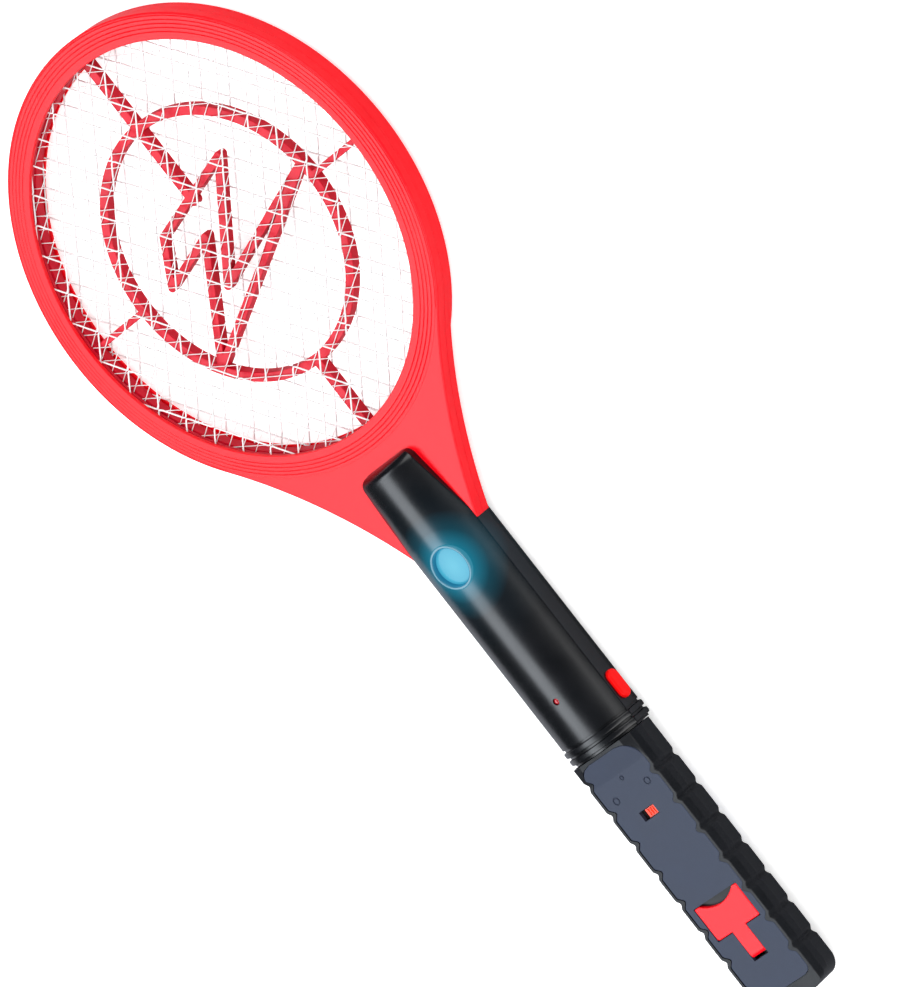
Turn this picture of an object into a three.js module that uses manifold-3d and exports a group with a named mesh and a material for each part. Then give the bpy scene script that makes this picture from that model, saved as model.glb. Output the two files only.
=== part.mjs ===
// Electric fly swatter: a round racket head with three grids on a lit, rechargeable handle.
//
// Millimetres. Everything is drawn with the head's centre at the origin, +Y towards the head's
// tip, +Z out of the front face, +X across, and z = 0 where the two frame halves meet. A piece's
// height is its z, and a place along the racket is its y. The exported group is then moved so
// that the racket lies on the flat of its back, with its box centred over the origin.

import * as THREE from 'three';
import { mergeVertices } from 'three/addons/utils/BufferGeometryUtils.js';
import Module from 'manifold-3d';

const wasm = await Module();
wasm.setup();

// ---- Clearances ---------------------------------------------------------------------------
const GAP = 0.3;                 // between pieces that touch
const FAR = 200;                 // reach of a cutter that runs past everything

// ---- Head ---------------------------------------------------------------------------------
const HEAD_RADIUS = 108;         // outside of the rim
const RIM_WIDTH = 12;            // from the opening to the outside
const RIM_SEAT = 3;              // how far the grids reach under the rim's lip
const RIM_FRONT = 5.6;           // front face of the rim
const RIM_BACK = 7.4;            // rear face of the rim, below the parting plane
const RIM_STEPS = 3;             // concentric steps down to the outside
const RIM_STEP_DROP = 0.2;
const RIM_CHAMFER = 0.8;
const RIM_WALL = 1.8;            // around the hollow inside the rim
const LIP_THICKNESS = 1.8;       // front lip over the first grid
const REAR_LIP_THICKNESS = 1.2;
const THROAT_LENGTH = 47.7;      // from the rim's outside to the handle
const THROAT_LEAN = 24;          // degrees between the throat's edge and the handle's axis
const NECK_LENGTH = 20;          // part of the frame held inside the handle
const NECK_SKIN = 0.4;           // how much thinner the neck is than the throat
const HEAD_SIDES = 48;

// ---- Grids --------------------------------------------------------------------------------
const GRID_THICKNESS = 0.5;
const GUARD_CELL = [38.4, 42];   // width and height of one diamond
const CHARGED_CELL = [46, 44];
const STRAND = 0.9;
const GRID_SPACER = 1.4;         // insulating ring between the guard grid and the charged grid

// ---- Spacer web ---------------------------------------------------------------------------
const WEB_RING_RADIUS = 61.6;    // centre line
const WEB_RIB = 4.4;
const WEB_CROSS_RIB = 2.8;
const WEB_RIM_WALL = 2.4;
const BOLT = [                   // lightning bolt; its first and last corners lie on the ring
  [61, 7], [-14, -14], [27, 31], [-26, 19], [-40, 0], [-7, 8], [-46, -40],
];

// ---- Handle -------------------------------------------------------------------------------
const HANDLE_HALF = 22;          // half the width
const FLAT_HALF = 5;             // half the height of the flat sides, and of the throat
const CROWN = 13.3;              // top of the arched front
const BACK = 11.5;               // flat of the back
const WALL = 2.2;
const PARTING = -2.8;            // height at which the handle's shells meet
const BODY_LENGTH = 102;
const TONGUE_REACH = 41.7;       // how far the shells reach over the throat
const TONGUE_HALF = 17;          // half the tongue's width near its tip
const TONGUE_CORNER = 5;
const NOSE_REACH = 8;            // length over which the tongue's tip rounds off
const BOSS_RADIUS = 3.4;         // around the body's screws

// ---- Collar -------------------------------------------------------------------------------
const COLLAR_LENGTH = 8.8;
const COLLAR_RING = 2.9;         // length of each of its two raised rings
const COLLAR_RISE = 0.7;
const COLLAR_SINK = 0.7;

// ---- Grip ---------------------------------------------------------------------------------
const GRIP_LENGTH = 133.5;
const GRIP_WALL = 2.6;
const PLATE_HEIGHT = 10;         // flat front of the grip plate
const PLATE_THICKNESS = 1.8;
const PLATE_HALF = 17.8;
const PLATE_CORNER = 9;
const PLATE_END_MARGIN = 7;
const RAMP_LENGTH = 10.2;
const RAMP_RISE = 2.4;
const RAMP_MARGIN = 1.6;         // collar to the ramp's top edge
const FINGER_PITCH = 15.8;
const FINGER_WIDTH = 3.6;
const FINGER_DEPTH = 1.3;
const FINGER_START_RIGHT = 18.8; // first groove, from the top of the grip
const FINGER_START_LEFT = 9.4;
const GRIP_CORNER = 8;           // at the handle's end
const PLATE_END_CORNER = 4;
const GRIP_BOSS_RADIUS = 3.6;
const MARKS = [[-10.6, 21, 1.9], [10.6, 21, 1.9], [0, 14, 1.2]]; // x, from the grip's top, radius

// ---- Lamp ---------------------------------------------------------------------------------
const LENS_RADIUS = 9.2;
const LENS_THICKNESS = 1.8;
const LENS_RECESS = 2;           // lens below the bezel's rim
const BEZEL_WALL = 1.2;
const LAMP_OFFSET = 10.3;        // from the top of the handle body
const LAMP_RISE = 0.4;           // bezel above the crown
const INDICATOR_RADIUS = 1.5;
const INDICATOR_OFFSET = 82.3;

// ---- Push button on the side --------------------------------------------------------------
const BUTTON_LENGTH = 14;
const BUTTON_WIDTH = 6.6;
const BUTTON_PROUD = 2;
const BUTTON_TRAVEL = 1.5;
const BUTTON_OFFSET = 91.8;
const BUTTON_FLANGE = 1.2;

// ---- Slide switch in the grip plate -------------------------------------------------------
const SWITCH_WINDOW = [9.4, 4.8];
const SWITCH_KNOB = [6, 4.2];
const SWITCH_OFFSET = 32.8;      // from the top of the grip

// ---- Charging bay and its hinged cover ----------------------------------------------------
const COVER_HALF = 14.1;
const COVER_LENGTH = 16.9;
const COVER_STEM_HALF = 4.4;
const COVER_STEM_LENGTH = 12;
const COVER_OFFSET = 77.8;       // cover's top edge, from the top of the grip
const SCOOP_HALF = 11;           // thumbnail hollow in the cover's top edge
const SCOOP_DEPTH = 3.7;
const BAY_HALF = 13.5;
const BAY_DEPTH = 4.7;
const BAY_WALL = 1.5;
const PIN_RADIUS = 0.7;
const KNUCKLE_RADIUS = 1.9;
const PORT_SIZE = [9, 3.3, 6.2];
const PIN_HALF = 7;
const HINGE_BLOCK_HALF = [10, 5]; // block under the cover's hinge

// ---- Inside -------------------------------------------------------------------------------
const BOARD_THICKNESS = 1.6;
const CAPACITOR = [18, 9, 8.7];  // its three lengths
const CHARGE_BOARD_HALF = 9;
const SWITCH_BODY = [13, 7.2, 4.1];
const TACT_SWITCH = [3.6, 6, 4.3];
const CELL_RADIUS = 5.1;
const CELL_LENGTH = 44;
const SCREW_HEAD_RADIUS = 2.6;
const SCREW_SHANK_RADIUS = 1.2;
const SCREW_HEAD_HEIGHT = 1.6;
const FRAME_SCREW_SINK = 0.4;    // screw heads below the rim's rear face
const HANDLE_SCREW_SINK = 0.6;   // screw heads below the handle's back
const SCREW_POST = 1.2;          // wall around a screw inside the rim
const FRAME_SCREWS = 6;
const LEAD_RADIUS = 0.7;
const LEAD_X = 5;                // the two leads, either side of the middle

// ---- Places worked out from the sizes above -----------------------------------------------
const OPENING_RADIUS = HEAD_RADIUS - RIM_WIDTH;
const SEAT_RADIUS = OPENING_RADIUS + RIM_SEAT;
const GRID_RADIUS = SEAT_RADIUS - GAP;
const BODY_TOP = -(HEAD_RADIUS + THROAT_LENGTH);
const TONGUE_TIP = BODY_TOP + TONGUE_REACH;
const BODY_END = BODY_TOP - BODY_LENGTH;
const GRIP_TOP = BODY_END - COLLAR_LENGTH;
const HANDLE_END = GRIP_TOP - GRIP_LENGTH;
const THROAT_HALF = FLAT_HALF;
const FRONT_GRID_TOP = RIM_FRONT - LIP_THICKNESS - GAP;
const SPACER_TOP = FRONT_GRID_TOP - GRID_THICKNESS - GAP;
const CHARGED_TOP = SPACER_TOP - GRID_SPACER - GAP;
const WEB_TOP = CHARGED_TOP - GRID_THICKNESS - GAP;
const REAR_GRID_BOTTOM = -RIM_BACK + REAR_LIP_THICKNESS + GAP;
const WEB_BOTTOM = REAR_GRID_BOTTOM + GRID_THICKNESS + GAP;
const LAMP_Y = BODY_TOP - LAMP_OFFSET;
const INDICATOR_Y = BODY_TOP - INDICATOR_OFFSET;
const BUTTON_Y = BODY_TOP - BUTTON_OFFSET;
const SHELF = PLATE_HEIGHT - PLATE_THICKNESS - GAP;
const CAVITY_TOP = SHELF - 1.6;
const RAMP_TOP_Y = GRIP_TOP - RAMP_MARGIN;
const RAMP_FOOT_Y = RAMP_TOP_Y - RAMP_LENGTH;
const PLATE_END = HANDLE_END + PLATE_END_MARGIN;
const SWITCH_Y = GRIP_TOP - SWITCH_OFFSET;
const COVER_TOP_Y = GRIP_TOP - COVER_OFFSET;
const COVER_FOOT_Y = COVER_TOP_Y - COVER_LENGTH;
const HINGE_Y = COVER_FOOT_Y - COVER_STEM_LENGTH;
const HINGE_Z = SHELF - PIN_RADIUS;
const BAY_TOP_Y = COVER_TOP_Y - SCOOP_DEPTH - 1.2;
const BAY_FOOT_Y = COVER_FOOT_Y + 1;
const BAY_FLOOR = SHELF - BAY_DEPTH;
const PORT_Y = (BAY_TOP_Y + BAY_FOOT_Y) / 2;
const BOARD_TOP = PARTING + 0.9;
const CELL_Z = -(BACK - GRIP_WALL - GAP - CELL_RADIUS);
const HANDLE_SCREW_FACE = -BACK + HANDLE_SCREW_SINK;

// ---- Colours ------------------------------------------------------------------------------
const finish = (color, roughness, metalness = 0) =>
  new THREE.MeshStandardMaterial({ color, roughness, metalness, flatShading: true });

const RED = finish(0xf0323c, 0.4);
const WEB_RED = finish(0xc81e30, 0.45);
const BLACK = finish(0x1a1c20, 0.3);
const SLATE = finish(0x4a4e58, 0.5);
const STEEL = finish(0xc9ccd0, 0.35, 1);
const CHROME = finish(0xe6e8ea, 0.1, 1);
const CYAN = finish(0x5fc4e8, 0.2);
const ORANGE = finish(0xe8401a, 0.45);
const BOARD_GREEN = finish(0x1d6b3a, 0.5);
const DARK = finish(0x2b2b2e, 0.6);
const CELL_BLUE = finish(0x2f5fa8, 0.4);
const AMBER = finish(0xd8a23a, 0.4);
const LAMP_WHITE = finish(0xf4f6f0, 0.3);

// ---- Solids: three.js shapes, joined and cut by manifold-3d -------------------------------

// Turns a closed three.js geometry into a solid, whichever way its faces were wound.
function toSolid(geometry) {
  const bare = geometry.clone();
  bare.deleteAttribute('normal');
  bare.deleteAttribute('uv');
  const welded = mergeVertices(bare, 1e-5);
  const position = welded.attributes.position;
  const corners = [0, 1, 2].map(() => new THREE.Vector3());
  const triangles = [];
  let volume = 0;
  for (let i = 0; i < welded.index.count; i += 3) {
    const [a, b, c] = [0, 1, 2].map((k) => welded.index.getX(i + k));
    if (a === b || b === c || c === a) continue;
    [a, b, c].forEach((vertex, k) => corners[k].fromBufferAttribute(position, vertex));
    volume += corners[0].dot(corners[1].clone().cross(corners[2]));
    triangles.push([a, b, c]);
  }
  const wound = volume < 0 ? triangles.map(([a, b, c]) => [a, c, b]) : triangles;
  return new wasm.Manifold(new wasm.Mesh({
    numProp: 3,
    vertProperties: new Float32Array(position.array),
    triVerts: new Uint32Array(wound.flat()),
  }));
}

function toGeometry(solid) {
  const { vertProperties, triVerts } = solid.getMesh();
  const geometry = new THREE.BufferGeometry();
  geometry.setAttribute('position', new THREE.BufferAttribute(new Float32Array(vertProperties), 3));
  geometry.setIndex(new THREE.BufferAttribute(new Uint32Array(triVerts), 1));
  geometry.computeVertexNormals();
  return geometry;
}

const shapeOf = (points) => new THREE.Shape(points.map(([x, y]) => new THREE.Vector2(x, y)));
const join = (...solids) => solids.reduce((whole, next) => whole.add(next));
const cut = (solid, ...cutters) => cutters.reduce((rest, cutter) => rest.subtract(cutter), solid);
const common = (...solids) => solids.reduce((whole, next) => whole.intersect(next));
const mirrored = (points) => points.map(([x, y]) => [-x, y]).reverse();
const series = (count, make) => Array.from({ length: count }, (_, i) => make(i));

// An outline drawn in plan, between two heights.
function plan(points, low, high) {
  const outline = points instanceof THREE.Shape ? points : shapeOf(points);
  const options = { depth: high - low, bevelEnabled: false, curveSegments: 12 };
  return toSolid(new THREE.ExtrudeGeometry(outline, options).translate(0, 0, low));
}

// A cross-section of the handle, drawn as [x, z], from y = top down to y = end.
function along(section, top, end) {
  const options = { depth: top - end, bevelEnabled: false };
  const geometry = new THREE.ExtrudeGeometry(shapeOf(section), options);
  return toSolid(geometry.rotateX(Math.PI / 2).translate(0, top, 0));
}

// A side view, drawn as [y, z], from x = -half to x = half.
function across(profile, half, centre = 0) {
  const geometry = new THREE.ExtrudeGeometry(shapeOf(profile), { depth: 2 * half, bevelEnabled: false });
  const turn = new THREE.Matrix4().makeBasis(
    new THREE.Vector3(0, 1, 0), new THREE.Vector3(0, 0, 1), new THREE.Vector3(1, 0, 0));
  return toSolid(geometry.applyMatrix4(turn).translate(centre - half, 0, 0));
}

function box([x0, x1], [y0, y1], [z0, z1]) {
  const geometry = new THREE.BoxGeometry(x1 - x0, y1 - y0, z1 - z0);
  return toSolid(geometry.translate((x0 + x1) / 2, (y0 + y1) / 2, (z0 + z1) / 2));
}

// A disc or rod that stands up at (x, y).
function disc(radius, [low, high], [x, y] = [0, 0], sides = 20) {
  const geometry = new THREE.CylinderGeometry(radius, radius, high - low, sides);
  return toSolid(geometry.rotateX(Math.PI / 2).translate(x, y, (low + high) / 2));
}

// A profile of [radius, z] points turned about an upright line at (x, y).
function turned(profile, [x, y] = [0, 0], sides = 20) {
  const loop = [...profile, profile[0]].map(([radius, z]) => new THREE.Vector2(radius, z));
  const geometry = new THREE.LatheGeometry(loop, sides);
  return toSolid(geometry.rotateX(Math.PI / 2).translate(x, y, 0));
}

// Points on an arc about (x, y), from one angle to another, in degrees.
function arc([x, y], radius, from, to, steps) {
  return series(steps + 1, (i) => {
    const angle = THREE.MathUtils.degToRad(from + ((to - from) * i) / steps);
    return [x + radius * Math.cos(angle), y + radius * Math.sin(angle)];
  });
}

// ---- Frame --------------------------------------------------------------------------------

// Throat and neck in plan: each edge is an arc that leaves the rim smoothly and meets the
// handle at THROAT_LEAN.
function throatOutline() {
  const lean = THREE.MathUtils.degToRad(THROAT_LEAN);
  const corner = new THREE.Vector2(HANDLE_HALF, BODY_TOP);
  const away = new THREE.Vector2(Math.cos(lean), -Math.sin(lean));
  const radius = (corner.lengthSq() - HEAD_RADIUS ** 2) / (2 * (HEAD_RADIUS - corner.dot(away)));
  const centre = corner.clone().addScaledVector(away, radius);
  const contact = centre.clone().setLength(HEAD_RADIUS);
  const from = THREE.MathUtils.radToDeg(corner.clone().sub(centre).angle());
  const to = THREE.MathUtils.radToDeg(contact.clone().sub(centre).angle());
  const edge = arc([centre.x, centre.y], radius, from, to, 10);
  return [...edge, ...mirrored(edge)];
}

const neckHalf = HANDLE_HALF - WALL - 2 * GAP;
const throatScrews = [-11, 11].map((x) => [x, BODY_TOP + 7.7]);
const frameScrews = series(FRAME_SCREWS, (i) => {
  const angle = THREE.MathUtils.degToRad(30 + (i * 360) / FRAME_SCREWS);
  const radius = (SEAT_RADIUS + HEAD_RADIUS) / 2;
  return [radius * Math.cos(angle), radius * Math.sin(angle)];
});

// Holes for the screws that pass through a frame half, and the channels for the two leads.
function frameCutters() {
  const throatHoles = throatScrews.map((place) => disc(SCREW_SHANK_RADIUS + GAP, [-FAR, FAR], place, 8));
  const channels = [-1, 1].map((side) => {
    const x = side * LEAD_X;
    const half = LEAD_RADIUS + GAP;
    return box([x - half, x + half], [-FAR, -SEAT_RADIUS + 1], [-half, half]);
  });
  return [...throatHoles, ...channels];
}

function throatSolid(low, high) {
  const throat = plan(throatOutline(), low, high);
  const neck = box(
    [-neckHalf, neckHalf], [BODY_TOP - NECK_LENGTH, BODY_TOP + 1],
    [low < 0 ? low + NECK_SKIN : low, high > 0 ? high - NECK_SKIN : high]);
  return join(throat, neck);
}

// The hollow inside the rim of a frame half, with a post left standing round each screw.
function rimHollow(low, high) {
  const [inner, outer] = [SEAT_RADIUS + RIM_WALL, HEAD_RADIUS - RIM_WALL];
  const ring = turned([[inner, low], [outer, low], [outer, high], [inner, high]], [0, 0], HEAD_SIDES);
  const posts = frameScrews.map((place) => disc(SCREW_HEAD_RADIUS + SCREW_POST, [-FAR, FAR], place, 10));
  return cut(ring, ...posts);
}

// The throat and the neck between two heights, clear of the rim's inner part.
const throatBeyondRim = (low, high) => cut(
  throatSolid(low, high), disc(HEAD_RADIUS - RIM_WALL, [-FAR, FAR], [0, 0], HEAD_SIDES));

function frontFrame() {
  const low = GAP / 2;
  const stepWidth = RIM_WIDTH / RIM_STEPS;
  const steps = series(RIM_STEPS, (i) => {
    const z = RIM_FRONT - i * RIM_STEP_DROP;
    const inner = OPENING_RADIUS + i * stepWidth;
    const chamfer = i === RIM_STEPS - 1 ? RIM_CHAMFER : 0;
    return [[inner, z], [inner + stepWidth - chamfer, z]];
  }).flat();
  const outerTop = RIM_FRONT - (RIM_STEPS - 1) * RIM_STEP_DROP - RIM_CHAMFER;
  const ring = turned([
    [SEAT_RADIUS, low], [SEAT_RADIUS, RIM_FRONT - LIP_THICKNESS],
    [OPENING_RADIUS, RIM_FRONT - LIP_THICKNESS], ...steps,
    [HEAD_RADIUS, outerTop], [HEAD_RADIUS, low],
  ], [0, 0], HEAD_SIDES);
  const hollow = rimHollow(low - 1, RIM_FRONT - RIM_WALL - 0.4);
  const pilots = frameScrews.map((place) => disc(SCREW_SHANK_RADIUS + GAP, [-FAR, RIM_FRONT - 2], place, 8));
  const solid = join(ring, throatBeyondRim(low, THROAT_HALF));
  return cut(solid, hollow, ...frameCutters(), ...pilots);
}

function rearFrame() {
  const high = -GAP / 2;
  const ring = turned([
    [SEAT_RADIUS, high], [SEAT_RADIUS, -RIM_BACK + REAR_LIP_THICKNESS],
    [OPENING_RADIUS, -RIM_BACK + REAR_LIP_THICKNESS], [OPENING_RADIUS, -RIM_BACK],
    [HEAD_RADIUS - 1.5, -RIM_BACK], [HEAD_RADIUS, -RIM_BACK + 1.5], [HEAD_RADIUS, high],
  ], [0, 0], HEAD_SIDES);
  const hollow = rimHollow(-RIM_BACK + RIM_WALL, high + 1);
  const bores = frameScrews.map((place) => join(
    disc(SCREW_SHANK_RADIUS + GAP, [-FAR, FAR], place, 8),
    disc(SCREW_HEAD_RADIUS + GAP, [-FAR, -RIM_BACK + FRAME_SCREW_SINK + SCREW_HEAD_HEIGHT + GAP], place, 8)));
  const solid = join(ring, throatBeyondRim(-THROAT_HALF, high));
  return cut(solid, hollow, ...frameCutters(), ...bores);
}

// A pan-head screw driven from the back at (x, y): its head's outer face and its tip's height.
function screw(place, headFace, tip) {
  return turned([
    [0, headFace], [SCREW_HEAD_RADIUS, headFace], [SCREW_HEAD_RADIUS, headFace + SCREW_HEAD_HEIGHT],
    [SCREW_SHANK_RADIUS, headFace + SCREW_HEAD_HEIGHT], [SCREW_SHANK_RADIUS, tip], [0, tip],
  ], place, 8);
}

// ---- Grids --------------------------------------------------------------------------------

// A round grid of diamond cells inside a plain rim.
function grid([width, height], strand, low) {
  const high = low + GRID_THICKNESS;
  const inside = OPENING_RADIUS + GAP;
  const slope = Math.hypot(width, height);
  const halfWidth = (width - (strand * slope) / height) / 2;
  const halfHeight = (height - (strand * slope) / width) / 2;
  const count = Math.ceil((2 * inside) / Math.min(width, height));
  const cells = [];
  for (let row = -2 * count; row <= 2 * count; row += 1) {
    for (let column = -count; column <= count; column += 1) {
      const x = (column + (row % 2 ? 0.5 : 0)) * width;
      const y = (row * height) / 2;
      if (Math.hypot(x, y) > inside + 3) continue;
      cells.push(shapeOf([[x + halfWidth, y], [x, y + halfHeight], [x - halfWidth, y], [x, y - halfHeight]]));
    }
  }
  const options = { depth: 3 * GRID_THICKNESS, bevelEnabled: false };
  const prisms = toSolid(new THREE.ExtrudeGeometry(cells, options).translate(0, 0, low - GRID_THICKNESS));
  const opening = disc(inside, [low - 1, high + 1], [0, 0], HEAD_SIDES);
  return cut(disc(GRID_RADIUS, [low, high], [0, 0], HEAD_SIDES), common(prisms, opening));
}

const rimRing = (wall, low, high) => turned([
  [GRID_RADIUS - wall, low], [GRID_RADIUS, low], [GRID_RADIUS, high], [GRID_RADIUS - wall, high],
], [0, 0], HEAD_SIDES);

// ---- Spacer web ---------------------------------------------------------------------------

// A straight rib of the web with round ends.
function rib(start, end, width) {
  const [from, to] = [start, end].map(([x, y]) => new THREE.Vector2(x, y));
  const run = to.clone().sub(from);
  const heading = THREE.MathUtils.radToDeg(run.angle());
  const outline = [
    ...arc(end, width / 2, heading - 90, heading + 90, 3),
    ...arc(start, width / 2, heading + 90, heading + 270, 3),
  ];
  return plan(outline, WEB_BOTTOM, WEB_TOP);
}

function spacerWeb() {
  const half = WEB_RIB / 2;
  const ring = turned([
    [WEB_RING_RADIUS - half, WEB_BOTTOM], [WEB_RING_RADIUS + half, WEB_BOTTOM],
    [WEB_RING_RADIUS + half, WEB_TOP], [WEB_RING_RADIUS - half, WEB_TOP],
  ], [0, 0], 36);
  const reach = GRID_RADIUS - WEB_RIB / 2 - GAP;
  const scale = WEB_RING_RADIUS / Math.hypot(...BOLT[0]);
  const corners = BOLT.map(([x, y]) => [x * scale, y * scale]);
  const edges = corners.map((corner, i) => rib(corner, corners[(i + 1) % corners.length], WEB_RIB - 0.6));
  const bridge = corners[2][1] - 8;
  return join(
    rimRing(WEB_RIM_WALL, WEB_BOTTOM, WEB_TOP), ring,
    rib([0, bridge], [0, reach], WEB_RIB), rib([0, -reach], [0, -WEB_RING_RADIUS], WEB_RIB),
    rib([WEB_RING_RADIUS, 0], [reach, 0], WEB_CROSS_RIB),
    rib([-reach, 0], [-WEB_RING_RADIUS, 0], WEB_CROSS_RIB),
    ...edges);
}

// ---- Handle body --------------------------------------------------------------------------

// The arch from (-half, flat) over (0, top) to (half, flat).
function arch(half, flat, top, steps = 12) {
  const rise = top - flat;
  const radius = (half * half + rise * rise) / (2 * rise);
  const reach = THREE.MathUtils.radToDeg(Math.asin(half / radius));
  return arc([0, top - radius], radius, 90 + reach, 90 - reach, steps);
}

// The body's closed cross-section, moved inwards by inset: arched front, flat sides, and a
// back that is the same arch cut off flat.
function bodySection(inset) {
  const front = arch(HANDLE_HALF - inset, FLAT_HALF, CROWN - inset);
  const back = [...front].reverse().map(([x, z]) => [x, -Math.min(z, BACK - inset)]);
  return [...front, ...back];
}

const above = (z) => box([-FAR, FAR], [-3 * FAR, FAR], [z, FAR]);
const below = (z) => box([-FAR, FAR], [-3 * FAR, FAR], [-FAR, z]);

// Plan of the body with its tongue, which narrows towards the head.
function bodyOutline() {
  const top = TONGUE_TIP;
  const centre = [TONGUE_HALF - TONGUE_CORNER, top - TONGUE_CORNER];
  const right = [
    [HANDLE_HALF + 1, BODY_END + GAP], [HANDLE_HALF + 1, BODY_TOP - 1], [HANDLE_HALF, BODY_TOP + 4],
    ...arc(centre, TONGUE_CORNER, 0, 90, 5),
  ];
  return [...right, ...mirrored(right)];
}

// The tongue's nose in side view, rounded down to the throat.
function noseProfile() {
  const start = TONGUE_TIP - NOSE_REACH;
  const rise = CROWN - THROAT_HALF;
  const nose = series(6, (i) => {
    const angle = (Math.PI / 12) * i;
    return [start + NOSE_REACH * Math.cos(angle), THROAT_HALF + rise * Math.sin(angle)];
  });
  return [
    [TONGUE_TIP, -FAR], ...nose, [start, CROWN + 1], [-2 * FAR, CROWN + 1], [-2 * FAR, -FAR],
  ];
}

const bodyScrew = [0, BODY_TOP - NECK_LENGTH - 6];
const buttonCutter = (grow) => common(
  box([0, HANDLE_HALF + BUTTON_PROUD + 1], [-3 * FAR, FAR], [-FAR, FAR]),
  pill(grow, [HANDLE_HALF - WALL - 1, FAR]));

// The button's stadium outline in side view, grown by a margin, between two x values.
function pill(grow, [from, to]) {
  const radius = BUTTON_WIDTH / 2 + grow;
  const straight = (BUTTON_LENGTH - BUTTON_WIDTH) / 2;
  const outline = [
    ...arc([BUTTON_Y + straight, 0], radius, -90, 90, 8),
    ...arc([BUTTON_Y - straight, 0], radius, 90, 270, 8),
  ];
  return across(outline, (to - from) / 2, (from + to) / 2);
}

function bodyShell(side) {
  const front = side > 0;
  const reach = Math.max(CROWN, BACK) + 1;
  const outer = common(
    along(bodySection(0), TONGUE_TIP, BODY_END), plan(bodyOutline(), -reach, reach),
    front ? above(PARTING + GAP / 2) : below(PARTING - GAP / 2));
  const nose = front ? across(noseProfile(), FAR) : across(noseProfile().map(([y, z]) => [y, -z]), FAR);
  const cavity = along(bodySection(WALL), TONGUE_TIP - 3, BODY_END - 1);
  const throat = box([-FAR, FAR], [BODY_TOP - GAP, FAR], [-THROAT_HALF - GAP, THROAT_HALF + GAP]);
  const frameSide = front
    ? box([-FAR, FAR], [BODY_TOP - GAP, FAR], [-FAR, 0])
    : box([-FAR, FAR], [BODY_TOP - GAP, FAR], [0, FAR]);
  const shell = cut(common(outer, nose), cavity, throat, frameSide);
  const bosses = [...throatScrews, bodyScrew].map((place, i) => {
    const foot = i < throatScrews.length ? THROAT_HALF + GAP : PARTING + GAP / 2;
    const backFoot = i < throatScrews.length ? -THROAT_HALF - GAP : PARTING - GAP / 2;
    const column = front ? [foot, FAR] : [-FAR, backFoot];
    return common(disc(BOSS_RADIUS, column, place, 10), along(bodySection(WALL / 2), TONGUE_TIP, BODY_END));
  });
  const bores = [...throatScrews, bodyScrew].map((place) => (front
    ? disc(SCREW_SHANK_RADIUS + GAP, [-FAR, CROWN - WALL - 2.5], place, 8)
    : screwBore(place)));
  return cut(join(shell, ...bosses), ...bores, buttonCutter(GAP));
}

function screwBore(place) {
  return join(
    disc(SCREW_SHANK_RADIUS + GAP, [-FAR, FAR], place, 8),
    disc(SCREW_HEAD_RADIUS + GAP, [-FAR, HANDLE_SCREW_FACE + SCREW_HEAD_HEIGHT + GAP], place, 8));
}

function frontShell() {
  const lampHole = disc(LENS_RADIUS + BEZEL_WALL + GAP, [THROAT_HALF, FAR], [0, LAMP_Y], 24);
  const indicatorHole = disc(INDICATOR_RADIUS + GAP, [0, FAR], [0, INDICATOR_Y], 12);
  return cut(bodyShell(1), lampHole, indicatorHole);
}

// ---- Collar -------------------------------------------------------------------------------
function collar() {
  const top = BODY_END;
  const end = GRIP_TOP + GAP;
  const core = along(bodySection(COLLAR_SINK), top, end);
  const margin = (top - end - 2 * COLLAR_RING) / 3;
  const rings = [0, 1].map((i) => {
    const ringTop = top - margin - i * (COLLAR_RING + margin);
    return common(along(bodySection(-COLLAR_RISE), ringTop, ringTop - COLLAR_RING), above(-BACK));
  });
  return cut(join(core, ...rings), along(bodySection(WALL + COLLAR_SINK), top + 1, end - 1));
}

// ---- Lamp and indicator -------------------------------------------------------------------
const lampTop = CROWN + LAMP_RISE;
const bezelOuter = LENS_RADIUS + BEZEL_WALL;
const lampFoot = THROAT_HALF + 2 * GAP;
const lensTop = lampTop - LENS_RECESS;
const lensFoot = lensTop - LENS_THICKNESS;

const lampBezel = () => turned([
  [LENS_RADIUS + GAP / 2, lensFoot - 1], [LENS_RADIUS + GAP / 2, lampTop - 0.3],
  [LENS_RADIUS + 0.5, lampTop], [bezelOuter - 0.4, lampTop], [bezelOuter, lampTop - 0.6],
  [bezelOuter, lampFoot + 2], [LENS_RADIUS, lampFoot + 2], [LENS_RADIUS, lensFoot - 1],
], [0, LAMP_Y], 24);

const lampLens = () => turned([
  [0, lensFoot], [LENS_RADIUS - GAP, lensFoot],
  [LENS_RADIUS - GAP, lensTop - 0.7], [LENS_RADIUS * 0.6, lensTop - 0.2], [0, lensTop],
], [0, LAMP_Y], 24);

const lampReflector = () => turned([
  [3.2, lampFoot], [4.2, lampFoot], [LENS_RADIUS - GAP, lensFoot - 0.8],
  [LENS_RADIUS - GAP, lensFoot - GAP], [LENS_RADIUS - 1.1, lensFoot - GAP], [3.2, lampFoot + 1.2],
], [0, LAMP_Y], 16);

const lampLed = () => turned([
  [0, lampFoot], [2.5, lampFoot], [2.5, lampFoot + 2], [1.6, lampFoot + 3.2], [0, lampFoot + 3.6],
], [0, LAMP_Y], 16);

const indicatorLed = () => turned([
  [0, CROWN - WALL - 4], [INDICATOR_RADIUS, CROWN - WALL - 4],
  [INDICATOR_RADIUS, CROWN - 0.6], [0, CROWN - 0.1],
], [0, INDICATOR_Y], 12);

// ---- Side button --------------------------------------------------------------------------
const flangeOuter = HANDLE_HALF - WALL - GAP;
const flangeInner = flangeOuter - BUTTON_FLANGE;

function sideButton() {
  const cap = pill(0, [flangeOuter - 0.5, HANDLE_HALF + BUTTON_PROUD - 0.8]);
  const crownCap = pill(-0.6, [flangeOuter, HANDLE_HALF + BUTTON_PROUD]);
  const flange = pill(1, [flangeInner, flangeOuter]);
  return join(cap, crownCap, flange);
}

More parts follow.
